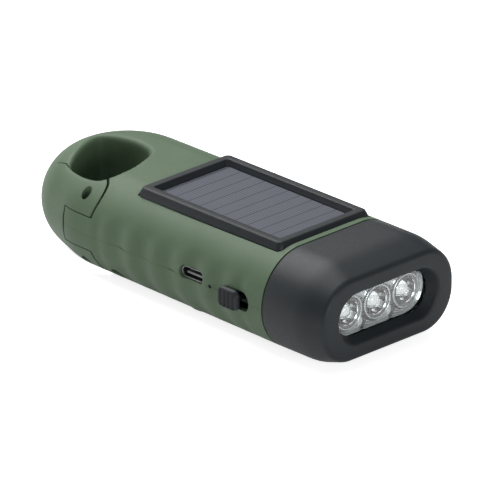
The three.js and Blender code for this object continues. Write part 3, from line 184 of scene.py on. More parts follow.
def shell_field(p):
    """The body less the hole's upright wall, with their common edge rounded all the way round:
    r - hypot(max(r - body, 0), max(r - wall, 0))."""
    body = body_field(p, SEEN_SPREAD_ABOVE, SEEN_SPREAD_BELOW)
    wall = loop_distance(p[:, 0], p[:, 1])
    return RIM_ROUND - np.hypot(np.maximum(RIM_ROUND - body, 0), np.maximum(RIM_ROUND - wall, 0))


def slope(field, p, step=0.01):
    """Gradient of a field by central differences."""
    moves = np.eye(3) * step
    return np.stack([(field(p + m) - field(p - m)) / (2 * step) for m in moves], axis=1)


def outward(field, p):
    """Unit normal that points out of the material."""
    g = -slope(field, p)
    return g / np.maximum(np.linalg.norm(g, axis=1, keepdims=True), TINY)


def settle(field, p, rounds=6):
    """Moves points to where the field is zero, by Newton steps along its gradient."""
    for _ in range(rounds):
        g = slope(field, p)
        p = p - field(p)[:, None] * g / np.maximum((g * g).sum(1, keepdims=True), TINY)
    return p


# Mesh helpers
def show(name, mesh, body, material, replaces):
    """Puts a finished mesh into the scene as a piece that rides on a body and stands for any CAD nodes."""
    mesh.materials.append(material)
    obj = bpy.data.objects.new(name, mesh)
    bpy.context.scene.collection.objects.link(obj)
    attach(obj, body)
    if replaces:
        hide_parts(*replaces)


def new_piece(name, verts, faces, body, material, slot, replaces=(), sharp=40):
    """A piece from points in millimetres, smooth except at edges sharper than an angle in degrees."""
    mesh = bpy.data.meshes.new(name)
    mesh.from_pydata((verts * MM).tolist(), [], faces)
    mesh.validate()
    mesh.shade_smooth()
    mesh.set_sharp_from_angle(angle=math.radians(sharp))
    show(name, mesh, body, material, replaces)


def rows_to_faces(rows, cols, close_rows=False):
    """Quads between the points of neighbouring rings, each ring closed on itself."""
    r = np.arange(rows if close_rows else rows - 1)[:, None]
    c = np.arange(cols)[None, :]
    a, b = r * cols + c, r * cols + (c + 1) % cols
    up = ((r + 1) % rows) * cols
    return np.stack([a, b, up + (c + 1) % cols, up + c], axis=2).reshape(-1, 4)


def turned_inward(verts, quads):
    """Whether the faces point into the body: the signed volume over their corner fans is below zero."""
    a, b, c, d = (verts[quads[:, k]] for k in range(4))
    return np.einsum("ij,ij->", a, np.cross(b, c) + np.cross(c, d)) < 0


# The rings that close an open end, as shares of the way to its middle: one nearly there, one close to the rim
END_SHARES = (0.999, 0.03)


def ring_body(rings, closed=False):
    """Skin over rings of equal length; open ends are closed by shrinking the last ring to its middle, with
    one ring close inside the rim so that a flat end shades flat."""
    rings = [np.asarray(r, float) for r in rings]
    if not closed:
        ends = [np.repeat(r.mean(0)[None], len(r), 0) for r in (rings[0], rings[-1])]
        first, last = ([end * share + ring * (1 - share) for share in END_SHARES]
                       for end, ring in zip(ends, (rings[0], rings[-1])))
        rings = [*first, *rings, *last[::-1]]
    verts = np.concatenate(rings)
    cols = len(rings[0])
    faces = rows_to_faces(len(rings), cols, close_rows=closed)
    lids = [] if closed else [np.arange(cols)[::-1], np.arange(cols) + len(verts) - cols]
    if turned_inward(verts, faces):
        faces, lids = faces[:, ::-1], [lid[::-1] for lid in lids]
    return verts, [*faces.tolist(), *[lid.tolist() for lid in lids]]


def merge_bodies(*parts):
    """Several closed skins as one mesh."""
    verts, faces, start = [], [], 0
    for v, f in parts:
        verts.append(v)
        faces += [[start + i for i in face] for face in f]
        start += len(v)
    return np.concatenate(verts), faces


def rounded(half_w, half_h, radius, steps):
    """Points round a rectangle with round corners: four quarter circles about its corner centres."""
    t = np.linspace(0, np.pi / 2, steps)
    quarter = np.c_[np.cos(t), np.sin(t)] * radius
    centre = np.array([half_w - radius, half_h - radius])
    out = []
    for sx, sy in ((1, 1), (-1, 1), (-1, -1), (1, -1)):
        out.append(quarter + centre * (sx, sy))
        quarter = np.c_[-quarter[:, 1], quarter[:, 0]]
    return np.concatenate(out)


def dense(flat, count):
    """The same closed outline with points at even steps along it."""
    loop = np.r_[flat, flat[:1]]
    along = np.r_[0, np.cumsum(np.linalg.norm(np.diff(loop, axis=0), axis=1))]
    even = np.linspace(0, along[-1], count, endpoint=False)
    return np.c_[np.interp(even, along, loop[:, 0]), np.interp(even, along, loop[:, 1])]


def facing_x(x, flat):
    """An outline (across, up) as a ring across the body, its middle on the body's long axis."""
    return np.c_[np.full(len(flat), x), flat[:, 0], flat[:, 1] + ROUND]


def facing_y(y, flat, x, z):
    """An outline (along, up) as a ring that faces the side, its middle at x and z."""
    return np.c_[flat[:, 0] + x, np.full(len(flat), y), flat[:, 1] + z]


def facing_z(z, flat, x, y=0.0):
    """An outline (along, across) as a ring that faces up, its middle at x and y."""
    return np.c_[flat[:, 0] + x, flat[:, 1] + y, np.full(len(flat), z)]


def turned(profile, steps):
    """Rings of a turned shape: each (along, radius) of the profile carried round the axis along x."""
    t = np.linspace(0, TURN, steps, endpoint=False)
    return [np.c_[np.full(steps, a), r * np.cos(t), r * np.sin(t)] for a, r in profile]


def turned_body(profile, steps, place):
    """A shape turned about the line along x through a place, with closed ends."""
    return ring_body([ring + place for ring in turned(profile, steps)])


def arc(centre, radius, start, end, steps):
    """Points on an arc, in degrees, as (along, across)."""
    t = np.radians(np.linspace(start, end, steps))
    return np.c_[centre[0] + radius * np.cos(t), centre[1] + radius * np.sin(t)]


def quadratic(start, pull, end, steps=9):
    """A curve that leaves its start towards a point and comes to its end from there."""
    start, pull, end = (np.array(point) for point in (start, pull, end))
    t = np.linspace(0, 1, steps)[:, None]
    return start * (1 - t) ** 2 + 2 * pull * t * (1 - t) + end * t ** 2


# Materials

# Nearly all of a noise texture's values lie between these
NOISE_RANGE = {"From Min": 0.3, "From Max": 0.7}


def colour(code):
    """sRGB hex to linear RGBA."""
    c = np.array([int(code[i:i + 2], 16) for i in (1, 3, 5)]) / 255
    linear = np.where(c <= 0.04045, c / 12.92, ((c + 0.055) / 1.055) ** 2.4)
    return (*linear.tolist(), 1.0)


def add(material, kind, inputs=None, **settings):
    """One node with its settings, its fixed inputs and its links."""
    made = material.node_tree.nodes.new(kind)
    for key, value in settings.items():
        setattr(made, key, value)
    for key, value in (inputs or {}).items():
        if isinstance(value, bpy.types.NodeSocket):
            material.node_tree.links.new(value, made.inputs[key])
        else:
            made.inputs[key].default_value = value
    return made


def blank(name):
    """A material without nodes."""
    material = bpy.data.materials.new(name)
    material.use_nodes = True
    material.node_tree.nodes.clear()
    return material


def object_place(material):
    """The place on the object, in metres, that every pattern is laid out on."""
    return add(material, "ShaderNodeTexCoord").outputs["Object"]


def surfaced(material, shader):
    """The material with a shader as its surface."""
    add(material, "ShaderNodeOutputMaterial", {"Surface": shader.outputs[0]})
    return material


def moulded(name, tone, pale, roughness, grain_mm, grain_depth, specular=0.5, edge_mm=0.25):
    """Moulded plastic: a spark-eroded grain as bump and in gloss, faint flow marks in colour, softened edges.
    """
    flow_mm, smoothest, roughest = 14, roughness - 0.05, roughness + 0.07
    m = blank(name)
    place = object_place(m)
    grain = add(m, "ShaderNodeTexNoise", {"Vector": place, "Scale": 1 / (grain_mm * MM), "Detail": 3.0,
                                          "Roughness": 0.6})
    flow = add(m, "ShaderNodeTexNoise", {"Vector": place, "Scale": 1 / (flow_mm * MM), "Detail": 2.0,
                                         "Roughness": 0.5})
    tint = add(m, "ShaderNodeMapRange", {"Value": flow.outputs["Fac"], **NOISE_RANGE})
    mixed = add(m, "ShaderNodeMix", {"Factor": tint.outputs["Result"], "A": colour(tone), "B": colour(pale)},
                data_type="RGBA")
    gloss = add(m, "ShaderNodeMapRange", {"Value": grain.outputs["Fac"], **NOISE_RANGE,
                                          "To Min": smoothest, "To Max": roughest})
    soft = add(m, "ShaderNodeBevel", {"Radius": edge_mm * MM}, samples=4)
    bump = add(m, "ShaderNodeBump", {"Height": grain.outputs["Fac"], "Strength": 1.0,
                                     "Distance": grain_depth * MM, "Normal": soft.outputs["Normal"]})
    shader = add(m, "ShaderNodeBsdfPrincipled", {
        "Base Color": mixed.outputs["Result"], "Roughness": gloss.outputs["Result"], "IOR": 1.52,
        "Specular IOR Level": specular, "Normal": bump.outputs["Normal"]})
    return surfaced(m, shader)


# Moulded ABS in army green with a fine matt grain: soft highlights that pale the colour on the lit side
green_abs = moulded("army_green_abs", "#475A44", "#4C5F49", 0.55, 0.5, 0.012, specular=0.28, edge_mm=0.12)
# Moulded ABS in black with a satin grain, as on the head, the frame and the crank
black_abs = moulded("black_abs", "#171C20", "#1B2024", 0.5, 0.45, 0.014, specular=0.26)
# The same black, smoother, as a sheet just inside the charging socket's steel shell: painted shade in the
# socket
black_painted_shade = moulded("black_smooth_abs_painted_shade", "#1E2022", "#232527", 0.3, 0.4, 0.004)


def cells_under_resin():
    """Thin-film cells under clear resin: grey strips, dark scribed lines between them, and printed finger
    lines that run along the panel."""
    m = blank("solar_cells_under_resin")
    place = object_place(m)
    xyz = add(m, "ShaderNodeSeparateXYZ", {"Vector": place})

    def lines(axis, start_mm, pitch_mm, width_mm, core_share=0.4):
        """Lines across an axis, one to each pitch, solid over a share of their width and soft beyond it."""
        shifted = add(m, "ShaderNodeMath", {0: axis, 1: start_mm * MM}, operation="SUBTRACT")
        cell = add(m, "ShaderNodeMath", {0: shifted.outputs[0], 1: pitch_mm * MM}, operation="FLOORED_MODULO")
        centred = add(m, "ShaderNodeMath", {0: cell.outputs[0], 1: pitch_mm * MM / 2}, operation="SUBTRACT")
        away = add(m, "ShaderNodeMath", {0: centred.outputs[0]}, operation="ABSOLUTE")
        line = add(m, "ShaderNodeMapRange", {"Value": away.outputs[0],
                                             "From Min": (pitch_mm / 2 - width_mm) * MM,
                                             "From Max": (pitch_mm / 2 - width_mm * core_share) * MM})
        return line.outputs["Result"]

    def mixed(factor, below, above):
        """One colour or the other, by a factor."""
        mix = add(m, "ShaderNodeMix", {"Factor": factor, "A": below, "B": above}, data_type="RGBA")
        return mix.outputs["Result"]

    scribe = lines(xyz.outputs["X"], start_mm=-13.75, pitch_mm=4.85, width_mm=0.28)
    fingers = lines(xyz.outputs["Y"], start_mm=-13.5, pitch_mm=0.9, width_mm=0.16)
    mottle_mm = 6
    mottle = add(m, "ShaderNodeTexNoise", {"Vector": place, "Scale": 1 / (mottle_mm * MM), "Detail": 4.0})
    base = mixed(mottle.outputs["Fac"], colour("#3E4149"), colour("#474A53"))
    tone = mixed(scribe, mixed(fingers, base, colour("#5C5F69")), colour("#2E3038"))
    shader = add(m, "ShaderNodeBsdfPrincipled", {
        "Base Color": tone, "Roughness": 0.6, "IOR": 1.5, "Specular IOR Level": 0.25})
    return surfaced(m, shader)


def clear(name, tint, roughness, ior):
    """Clear moulded plastic that bends light a little; faint moulding waves break its reflections."""
    wave_mm, wave_depth = 5, 0.02
    m = blank(name)
    waves = add(m, "ShaderNodeTexNoise", {"Vector": object_place(m), "Scale": 1 / (wave_mm * MM),
                                          "Detail": 1.0})
    bump = add(m, "ShaderNodeBump", {"Height": waves.outputs["Fac"], "Strength": 0.25,
                                     "Distance": wave_depth * MM})
    shader = add(m, "ShaderNodeBsdfPrincipled", {
        "Base Color": colour(tint), "Roughness": roughness, "IOR": ior, "Transmission Weight": 1.0,
        "Normal": bump.outputs["Normal"]})
    return surfaced(m, shader)


def metal(name, tone, roughness, brush_mm, depth_mm, axis=(1, 1, 1)):
    """Plain metal with fine drawn lines: noise stretched along the way it was worked."""
    smoothest_share, roughest_share = 0.8, 1.3
    m = blank(name)
    stretched = add(m, "ShaderNodeMapping", {"Vector": object_place(m), "Scale": axis})
    lines = add(m, "ShaderNodeTexNoise", {"Vector": stretched.outputs["Vector"],
                                          "Scale": 1 / (brush_mm * MM), "Detail": 2.0})
    gloss = add(m, "ShaderNodeMapRange", {"Value": lines.outputs["Fac"], **NOISE_RANGE,
                                          "To Min": roughness * smoothest_share,
                                          "To Max": roughness * roughest_share})
    bump = add(m, "ShaderNodeBump", {"Height": lines.outputs["Fac"], "Strength": 0.6,
                                     "Distance": depth_mm * MM})
    shader = add(m, "ShaderNodeBsdfPrincipled", {
        "Base Color": colour(tone), "Metallic": 1.0, "Roughness": gloss.outputs["Result"],
        "Normal": bump.outputs["Normal"]})
    return surfaced(m, shader)


# Amorphous silicon cells, scribed and screen-printed, cast under clear resin
solar_cells = cells_under_resin()
# Moulded nylon in grey, for the tongue of the charging socket
grey_tongue = moulded("grey_socket_tongue", "#6A6C6E", "#747678", 0.45, 0.4, 0.004, edge_mm=0.05)
# Polished acrylic window: clear, with crisp reflections
acrylic = clear("clear_acrylic_window", "#FAFCFC", 0.02, 1.49)
# Cast epoxy of the lamps: clear, a little softer than acrylic
epoxy = clear("clear_epoxy_lamp", "#F4F6F4", 0.05, 1.54)
# Smoked acrylic light pipe of the charge light
smoked = clear("smoked_light_pipe", "#2C2E2E", 0.15, 1.49)
# Aluminium vapour on moulded cups: a bright mirror with slight waves
mirror = metal("vacuum_plated_reflector", "#E4E6E8", 0.1, 1.2, 0.02)
# The same plating, given a much darker tone on the webs and collars between the cups: painted shade
webs_plating_painted_shade = metal("vacuum_plated_webs_painted_shade", "#8A8E90", 0.08, 0.8, 0.004)
# Nickel-plated pressed steel, satin
steel = metal("nickel_plated_steel", "#B9BABB", 0.3, 0.3, 0.002, (1, 6, 6))
# Enamelled copper wire wound in layers
copper = metal("enamelled_copper", "#B06A38", 0.35, 0.35, 0.02, (1, 1, 4))
# Natural nylon gears and plate: off-white, slightly waxy
nylon = moulded("natural_nylon", "#DEDBD0", "#E6E3DA", 0.45, 0.6, 0.004, edge_mm=0.1)
# Fibreglass board under green solder mask, its tone darkened to nearly black: painted shade where it shows
# through the switch slot
dark_board_painted_shade = moulded("green_solder_mask_painted_shade", "#0F2418", "#122A1C", 0.35, 0.5, 0.006, edge_mm=0.05)
# Printed PVC sleeve of the cell, light green and glossy
sleeve = moulded("green_pvc_sleeve", "#84C482", "#8CCB8A", 0.28, 1.2, 0.004, edge_mm=0.1)
# Strip cut from grey polyurethane foam
foam = moulded("grey_foam", "#5F6163", "#727476", 0.95, 0.5, 0.15, edge_mm=0.3)
# Pale phosphor cast over the lamp's chip
phosphor = moulded("pale_phosphor", "#E6E1C4", "#EDE9D2", 0.6, 0.3, 0.01, edge_mm=0.05)


# Moulded shells: the CAD's cut outlines on the true curved surfaces

# Corners that agree to this many decimals of a millimetre are one corner
MERGE_DIGITS = 3
# A face is on a curved surface if its corners are this close to it and it also faces as the surface does, or
# is too low a sliver to say which way it faces
ON_SURFACE, SAME_WAY_COSINE, SLIVER_HEIGHT = 0.3, 0.88, 0.15
# Longest edge left on a curved surface
LONGEST_EDGE = 1.6
# Corners this close to the seam are moved to half a hairline beside it
SEAM_REACH, HALF_HAIRLINE = 0.15, 0.02


def face_normals(verts, tris):
    """Each triangle's unit normal, and twice its area."""
    across = np.cross(verts[tris[:, 1]] - verts[tris[:, 0]], verts[tris[:, 2]] - verts[tris[:, 0]])
    area = np.linalg.norm(across, axis=1)
    return across / np.maximum(area, TINY_AREA)[:, None], area


def split_long(verts, tris, curved):
    """Halves every edge of the curved faces that is too long, and cuts each triangle by which of its edges
    were halved. Also says whether any edge was."""
    edges = np.sort(tris[:, [0, 1, 1, 2, 2, 0]].reshape(-1, 3, 2), axis=2)
    unique, which = np.unique(edges.reshape(-1, 2), axis=0, return_inverse=True)
    which = which.reshape(-1, 3)
    length = np.linalg.norm(verts[unique[:, 0]] - verts[unique[:, 1]], axis=1)
    wanted = np.zeros(len(unique), bool)
    wanted[which[curved].ravel()] = True
    cut = wanted & (length > LONGEST_EDGE)
    if not cut.any():
        return verts, tris, curved, False
    middle = np.full(len(unique), -1)
    middle[cut] = len(verts) + np.arange(cut.sum())
    verts = np.concatenate([verts, (verts[unique[cut, 0]] + verts[unique[cut, 1]]) / 2])
    mids = middle[which]
    count = (mids >= 0).sum(1)
    made, kinds = [tris[count == 0]], [curved[count == 0]]
    # The corners a, b, c are turned so that the halved edges come first: p halves a-b, q b-c and r c-a
    for amount, first in ((1, lambda m: (m >= 0).argmax(1)), (2, lambda m: ((m < 0).argmax(1) + 1) % 3),
                          (3, lambda m: np.zeros(len(m), int))):
        chosen = count == amount
        if not chosen.any():
            continue
        turn = (first(mids[chosen])[:, None] + np.arange(3)) % 3
        a, b, c = np.take_along_axis(tris[chosen], turn, 1).T
        p, q, r = np.take_along_axis(mids[chosen], turn, 1).T
        if amount == 1:
            parts = [(a, p, c), (p, b, c)]
        elif amount == 3:
            parts = [(a, p, r), (p, b, q), (r, q, c), (p, q, r)]
        else:
            near = np.linalg.norm(verts[a] - verts[q], axis=1) < np.linalg.norm(verts[p] - verts[c], axis=1)
            parts = [(p, b, q), (a, p, np.where(near, q, c)), (np.where(near, a, p), q, c)]
        made += [np.stack(part, axis=1) for part in parts]
        kinds += [curved[chosen]] * len(parts)
    return verts, np.concatenate(made), np.concatenate(kinds), True


def merged_mesh(node):
    """A CAD node's points in millimetres, each only once, and its triangles."""
    source = frame["nodes"][node].data
    flat = np.empty(len(source.vertices) * 3)
    source.vertices.foreach_get("co", flat)
    source.calc_loop_triangles()
    corner = np.empty(len(source.loop_triangles) * 3, np.int32)
    source.loop_triangles.foreach_get("vertices", corner)
    points = flat.reshape(-1, 3) / MM
    _, keep, same = np.unique(np.round(points, MERGE_DIGITS), axis=0, return_index=True, return_inverse=True)
    tris = same.ravel()[corner].reshape(-1, 3)
    distinct = (tris[:, 0] != tris[:, 1]) & (tris[:, 1] != tris[:, 2]) & (tris[:, 2] != tris[:, 0])
    return points[keep], tris[distinct]


def true_shell(node, body):
    """A copy of the CAD solid whose faces on the body's and the loop's surfaces are recut finely and moved
    onto the shell's smooth surface, with exact normals there; its cut faces stay flat. The edges along the
    seam are moved together, to a hairline."""
    verts, tris = merged_mesh(node)
    facing, area = face_normals(verts, tris)
    longest_side = np.linalg.norm(verts[tris] - verts[np.roll(tris, 1, axis=1)], axis=2).max(1)
    sliver = area / np.maximum(longest_side, TINY) < SLIVER_HEIGHT
    middle = verts[tris].mean(1)
    curved = np.zeros(len(tris), bool)
    for field in (flared_loop, body_field):
        close = (np.abs(field(verts)) < ON_SURFACE)[tris].all(1)
        curved |= close & (sliver | ((outward(field, middle) * facing).sum(1) > SAME_WAY_COSINE))
    going = True
    while going:
        verts, tris, curved, going = split_long(verts, tris, curved)
    moved = np.unique(tris[curved])
    verts[moved] = settle(shell_field, verts[moved])
    seam = np.abs(verts[:, 2] - SEAM_Z) < SEAM_REACH
    verts[seam, 2] = SEAM_Z + np.sign(verts[seam, 2] - SEAM_Z) * HALF_HAIRLINE
    normals = np.repeat(face_normals(verts, tris)[0], 3, axis=0)
    smooth_corners = np.repeat(curved, 3)
    normals[smooth_corners] = outward(shell_field, verts[tris.ravel()[smooth_corners]])
    name = node + "_moulded"
    mesh = bpy.data.meshes.new(name)
    mesh.from_pydata((verts * MM).tolist(), [], tris.tolist())
    mesh.shade_smooth()
    mesh.normals_split_custom_set(normals.tolist())
    show(name, mesh, body, green_abs, [node])


# Head bezel

SLEEVE_X = 42.3
BEZEL_WALL = 2.0
# The lens and its seat have one outline at several distances: this much wider than high to each side, with
# corners that are nearly as round as it is high
WINDOW_SPREAD, CORNER_SHORTFALL = 11.5, 0.1
LENS_HALF_WIDTH = 18.65
# Keeps the two corners of a round side from meeting in one point
POINT_GAP = 1e-3


def window_outline(half_width):
    """Half width, half height and corner radius of the window's outline."""
    half_height = half_width - WINDOW_SPREAD
    return half_width, half_height, half_height - CORNER_SHORTFALL


def head_bezel():
    """A closed profile of (x, half width, half height, corner radius) carried round the head's outline:
    sleeve, soft crease, sloping brow, rolled front edge, flat rim, flared window, lens seat, inner wall."""
    edge, seat_x, seat_back_x = 0.4, 62.3, 53.6
    window_edge, seat_inside, seat_outside = 17.75, 18.95, 20.25
    sleeve_edge = [(x, HALF_WIDTH - ROUND + h, h, h)
                   for x, h in arc((SLEEVE_X + edge, ROUND - edge), edge, 180, 90, 5)]
    crease = quadratic((54.5, HALF_WIDTH, ROUND, ROUND), (57.0, HALF_WIDTH, ROUND, ROUND),
                       (59.5, 27.18, 14.49, 14.1))
    roll = quadratic((64.0, 26.07, 12.85, 11.75), (65.45, 25.72, 12.3, 11.1), (NOSE_X, 24.5, 11.2, 10.2))
    rim = [(NOSE_X, 20.6, 8.5, 8.4)]
    flare = quadratic((NOSE_X, 20.5, 8.4, 8.3), (65.45, 19.95, 7.95, 7.85), (64.9, 19.55, 7.6, 7.5))
    seat = [(x, *window_outline(half_width)) for x, half_width in (
        (seat_x + 0.05, window_edge + 0.05), (seat_x, window_edge), (seat_x, seat_inside),
        (seat_back_x, seat_inside), (seat_back_x, seat_outside), (seat_x, seat_outside))]
    wall = [(seat_x, 23.7, 10.3, 9.0),
            *[(x, HALF_WIDTH - BEZEL_WALL, ROUND - BEZEL_WALL, ROUND - BEZEL_WALL) for x in (57.0, SLEEVE_X)]]
    stations = np.concatenate([sleeve_edge, crease, roll, rim, flare, seat, wall])
    rings = [facing_x(x, rounded(w, h, r - POINT_GAP, 24)) for x, w, h, r in stations]
    new_piece("head_bezel_moulded", *ring_body(rings, closed=True), "housing", black_abs, "black_plastic",
              ["head_bezel"])


# Lamp window, reflector and lamps

LAMP_PITCH = 11.4


def lens_window():
    """A flat plate with rounded edges, carried round the window's outline."""
    back, front, edge = 60.5, 62.0, 0.3
    profile = [*arc((back + edge, -edge), edge, 180, 90, 5), *arc((front - edge, -edge), edge, 90, 0, 5)]
    rings = [facing_x(x, rounded(*window_outline(LENS_HALF_WIDTH + move), 20)) for x, move in profile]
    new_piece("lens_window", *ring_body(rings), "housing", acrylic, "clear_plastic", ["lens"], sharp=50)


def reflector_cups():
    """Three cells side by side. In each, a cup goes from the throat up a faceted paraboloid to a thin lip and
    back; round it a plate goes over a groove, a broad rounded collar and fine ripples, out to the cell's
    border. The border is a box, or a round end on the outer cells."""
    web, back, throat, mouth = 59.5, 53.9, 3.1, 3.85
    top, lip, hole, collar_edge, bead = 59.6, 0.12, 4.05, 5.5, 0.45
    half_w, half_h, end_radius, end_centre = LAMP_PITCH / 2, 7.15, 7.05, 0.2
    facets, facet_share = 10, 0.04
    ripple_count, ripple_depth = 8, 0.16
    knee = math.atan2(half_h, half_w)
    even = np.linspace(0, TURN, 96, endpoint=False)
    angle = np.sort(np.concatenate([even, [knee, np.pi - knee, np.pi + knee, TURN - knee]]))
    c, s = np.cos(angle), np.sin(angle)
    whole = np.ones(len(angle))
    faceted = 1 - facet_share * np.abs(np.cos(facets / 2 * angle))
    radii = throat + (mouth - throat) * np.linspace(0, 1, 14)
    depth_shares = (radii ** 2 - throat ** 2) / (mouth ** 2 - throat ** 2)
    cup = [(back + (top - back) * share, r * faceted) for r, share in zip(radii, depth_shares)]
    cup += [(top + 0.1, mouth * whole), (top + 0.15, (mouth + lip / 2) * whole), (top, (mouth + lip) * whole),
            (back, (mouth + lip) * whole)]
    rolled = [(web + 0.25 + bead * math.sin(a), 5.0 - bead * math.cos(a)) for a in np.linspace(0, math.pi, 9)]
    collar = [(web + 0.1, hole), (web + 0.4, 4.1), (web + 0.45, 4.2), (web + 0.1, 4.3), (web, 4.42),
              (web + 0.2, 4.55), *rolled, (web, collar_edge)]
    box = np.minimum(half_w / np.maximum(np.abs(c), TINY), half_h / np.maximum(np.abs(s), TINY))
    cups, plates = [], []
    for side in (-1, 0, 1):
        end = end_centre * c * side + np.sqrt(end_radius ** 2 - (end_centre * s) ** 2)
        border = np.where(c * side > 0, end, box)
        ripples = [(web - ripple_depth * (step % 2),
                    collar_edge + (border - collar_edge) * step / ripple_count)
                   for step in range(1, ripple_count)]
        plate = [*[(x, r * whole) for x, r in collar], *ripples, (web, border), (back, border),
                 (back, hole * whole)]
        for rows, bodies in ((cup, cups), (plate, plates)):
            rings = [np.c_[np.full(len(angle), x), side * LAMP_PITCH + r * c, ROUND + r * s] for x, r in rows]
            bodies.append(ring_body(rings, closed=True))
    new_piece("reflector_cups", *merge_bodies(*cups), "housing", mirror, "mirror_chrome", ["reflector"],
              sharp=30)
    # The webs and collars take the darker plating tone, painted shade between the cups
    new_piece("reflector_webs", *merge_bodies(*plates), "housing", webs_plating_painted_shade, "mirror_chrome", sharp=30)


def lamps():
    """Each lamp is a turned shape: a flange, a straight body and a half-round dome, with a small cup and the
    chip inside. The profiles are (x, radius)."""
    foot_x, shoulder_x, dome_x, flange_r, dome_r = 53.3, 53.7, 57.2, 2.9, 2.5
    dome = [(foot_x, flange_r), (shoulder_x, flange_r), (shoulder_x, dome_r),
            *arc((dome_x, 0.0), dome_r, 90, 2, 14)]
    cup = [(54.2, 0.7), (56.3, 2.1), (56.35, 2.05), (56.3, 1.95), (55.2, 0.85), (55.2, 0.05)]
    chip = [(55.22, 0.8), (55.4, 0.76), (55.5, 0.45), (55.53, 0.05)]
    for number, side in enumerate((-1, 0, 1), 1):
        place = (0, side * LAMP_PITCH, ROUND)
        new_piece(f"lamp_dome_{number}", *turned_body(dome, 40, place), "housing", epoxy, "clear_plastic",
                  [f"lamp_{number}"])
        new_piece(f"lamp_cup_{number}", *turned_body(cup, 24, place), "housing", mirror, "steel", sharp=30)
        new_piece(f"lamp_chip_{number}", *turned_body(chip, 24, place), "housing", phosphor, "gear_nylon")


# Solar frame and panel

PANEL_X = 10.5


def solar_frame():
    """A closed profile of (z, move out from the frame's outer edge) carried round a rounded rectangle: outer
    wall, rolled top, ledge over the panel and inner wall."""
    half_length, half_width, corner, least_corner, corner_share = 29.25, 18.15, 1.8, 0.7, 0.35
    foot, ledge, top, round_out, round_in, pocket = 29.0, 30.3, 32.0, 0.65, 0.5, -2.65
    outer = [(foot, 0.0), (30.2, 0.0), (31.0, -0.35), (31.5, -0.6)]
    top_out = [(top - round_out + round_out * math.sin(a), -0.55 - 0.75 * (1 - math.cos(a)))
               for a in np.linspace(0.3, 1.57, 8)]
    top_in = [(top - round_in + round_in * math.cos(a), -3.0 - 0.45 * math.sin(a))
              for a in np.linspace(0, 1.4, 7)]
    inner = [(ledge, -4.2), (ledge, pocket), (foot, pocket)]
    rings = []
    for z, move in [*outer, *top_out, *top_in, *inner]:
        radius = max(corner + move * corner_share, least_corner)
        rings.append(facing_z(z, rounded(half_length + move, half_width + move, radius, 8), PANEL_X))
    new_piece("solar_frame_moulded", *ring_body(rings, closed=True), "housing", black_abs, "black_plastic",
              ["solar_frame"])


def solar_panel():
    """A thin plate with a rounded top edge under the frame, as (z, move out from its edge)."""
    half_length, half_width, corner = 26.35, 15.25, 0.9
    profile = [(29.1, 0.0), (29.9, 0.0), (30.07, -0.05), (30.15, -0.2)]
    rings = [facing_z(z, rounded(half_length + move, half_width + move, corner, 6), PANEL_X)
             for z, move in profile]
    new_piece("solar_panel_cells", *ring_body(rings), "housing", solar_cells, "solar_cells", ["solar_panel"])


# Socket and switch
def usb_socket():
    """A drawn steel shell round a tongue. The shell's profile is (y, distance in from its outside): it runs
    forward to a thin rolled lip and back inside to the end wall."""
    front, back, end_wall, x, z = -25.99, -18.69, -19.7, 12.6, 16.75
    half_w, half_h = 4.6, 1.65
    tongue_w, tongue_h, tongue_edge, tongue_shift = 3.25, 0.35, 0.1, 0.2

    def skin(profile, steps, gap=0.02):
        """Rings of the socket's outline, moved in by each of the profile's distances. The gap keeps the two
        corners of a round end apart."""
        return [facing_y(y, rounded(half_w - i, half_h - i, half_h - i - gap, steps), x, z)
                for y, i in profile]

    shell = skin([(back, 0), (front + 0.1, 0), (front + 0.02, 0.03), (front, 0.07), (front, 0.12),
                  (front + 0.03, 0.16), (front + 0.12, 0.18), (end_wall, 0.2)], 12)
    new_piece("usb_shell", *ring_body(shell), "housing", steel, "steel", ["usb_port"])
    # A black sheet just inside the steel shell, painted shade in the socket's mouth
    shade_sheet = skin([(end_wall - 0.05, 0.23), (front + 0.3, 0.23), (front + 0.3, 0.3),
                   (end_wall - 0.1, 0.3)], 10)
    new_piece("usb_painted_shade_sheet", *ring_body(shade_sheet, closed=True), "housing", black_painted_shade, "black_plastic")
    tongue = [facing_y(y, rounded(tongue_w - i, tongue_h - i, tongue_edge, 4), x + tongue_shift,
                       z - tongue_shift)
              for y, i in ((front + 0.5, tongue_edge), (front + 0.6, 0), (end_wall + 0.1, 0))]
    new_piece("usb_tongue", *ring_body(tongue), "housing", grey_tongue, "black_plastic")


def switch_knob():
    """The knob's face is a height over a rounded rectangle: a swell that falls off at the rim, less a cosine
    of grooves along x. A stem and a finger go on through the slot."""
    middle_x, middle_z, half_w, half_h, corner, face_y = 29.35, 15.2, 4.05, 3.15, 2.0, -27.85
    rim, swell_height, groove_depth, groove_pitch = 0.35, 1.1, 0.6, 1.62
    plain_x, plain_z, fade = 0.5, 0.45, 0.5
    outline = dense(rounded(half_w, half_h, corner, 22), 220)
    face = [facing_y(y, outline, middle_x, middle_z) for y in (face_y, face_y - rim)]
    for share in np.linspace(0.995, 0.03, 60):
        flat = outline * share
        swell = (1 - max(2 * share - 1.0, 0) ** 5) ** 0.5
        groove = (1 - np.cos(TURN * (flat[:, 0] + half_w) / groove_pitch)) / 2
        inside = (smooth((half_w - plain_x - np.abs(flat[:, 0])) / fade)
                  * smooth((half_h - plain_z - np.abs(flat[:, 1])) / fade))
        lift = rim + swell_height * swell - groove_depth * (1 - groove) * inside
        face.append(facing_y(face_y - lift, flat, middle_x, middle_z))
    stem = [facing_y(y, rounded(2.0, 1.0, 0.2, 4), middle_x, middle_z) for y in (-28.0, -25.0)]
    finger = [facing_z(z, rounded(1.0, 1.15, 0.2, 4), middle_x, -24.85) for z in (15.4, 17.1)]
    parts = merge_bodies(ring_body(face), ring_body(stem), ring_body(finger))
    new_piece("switch_knob_ribbed", *parts, "switch", black_abs, "black_plastic", ["switch_knob"], sharp=50)


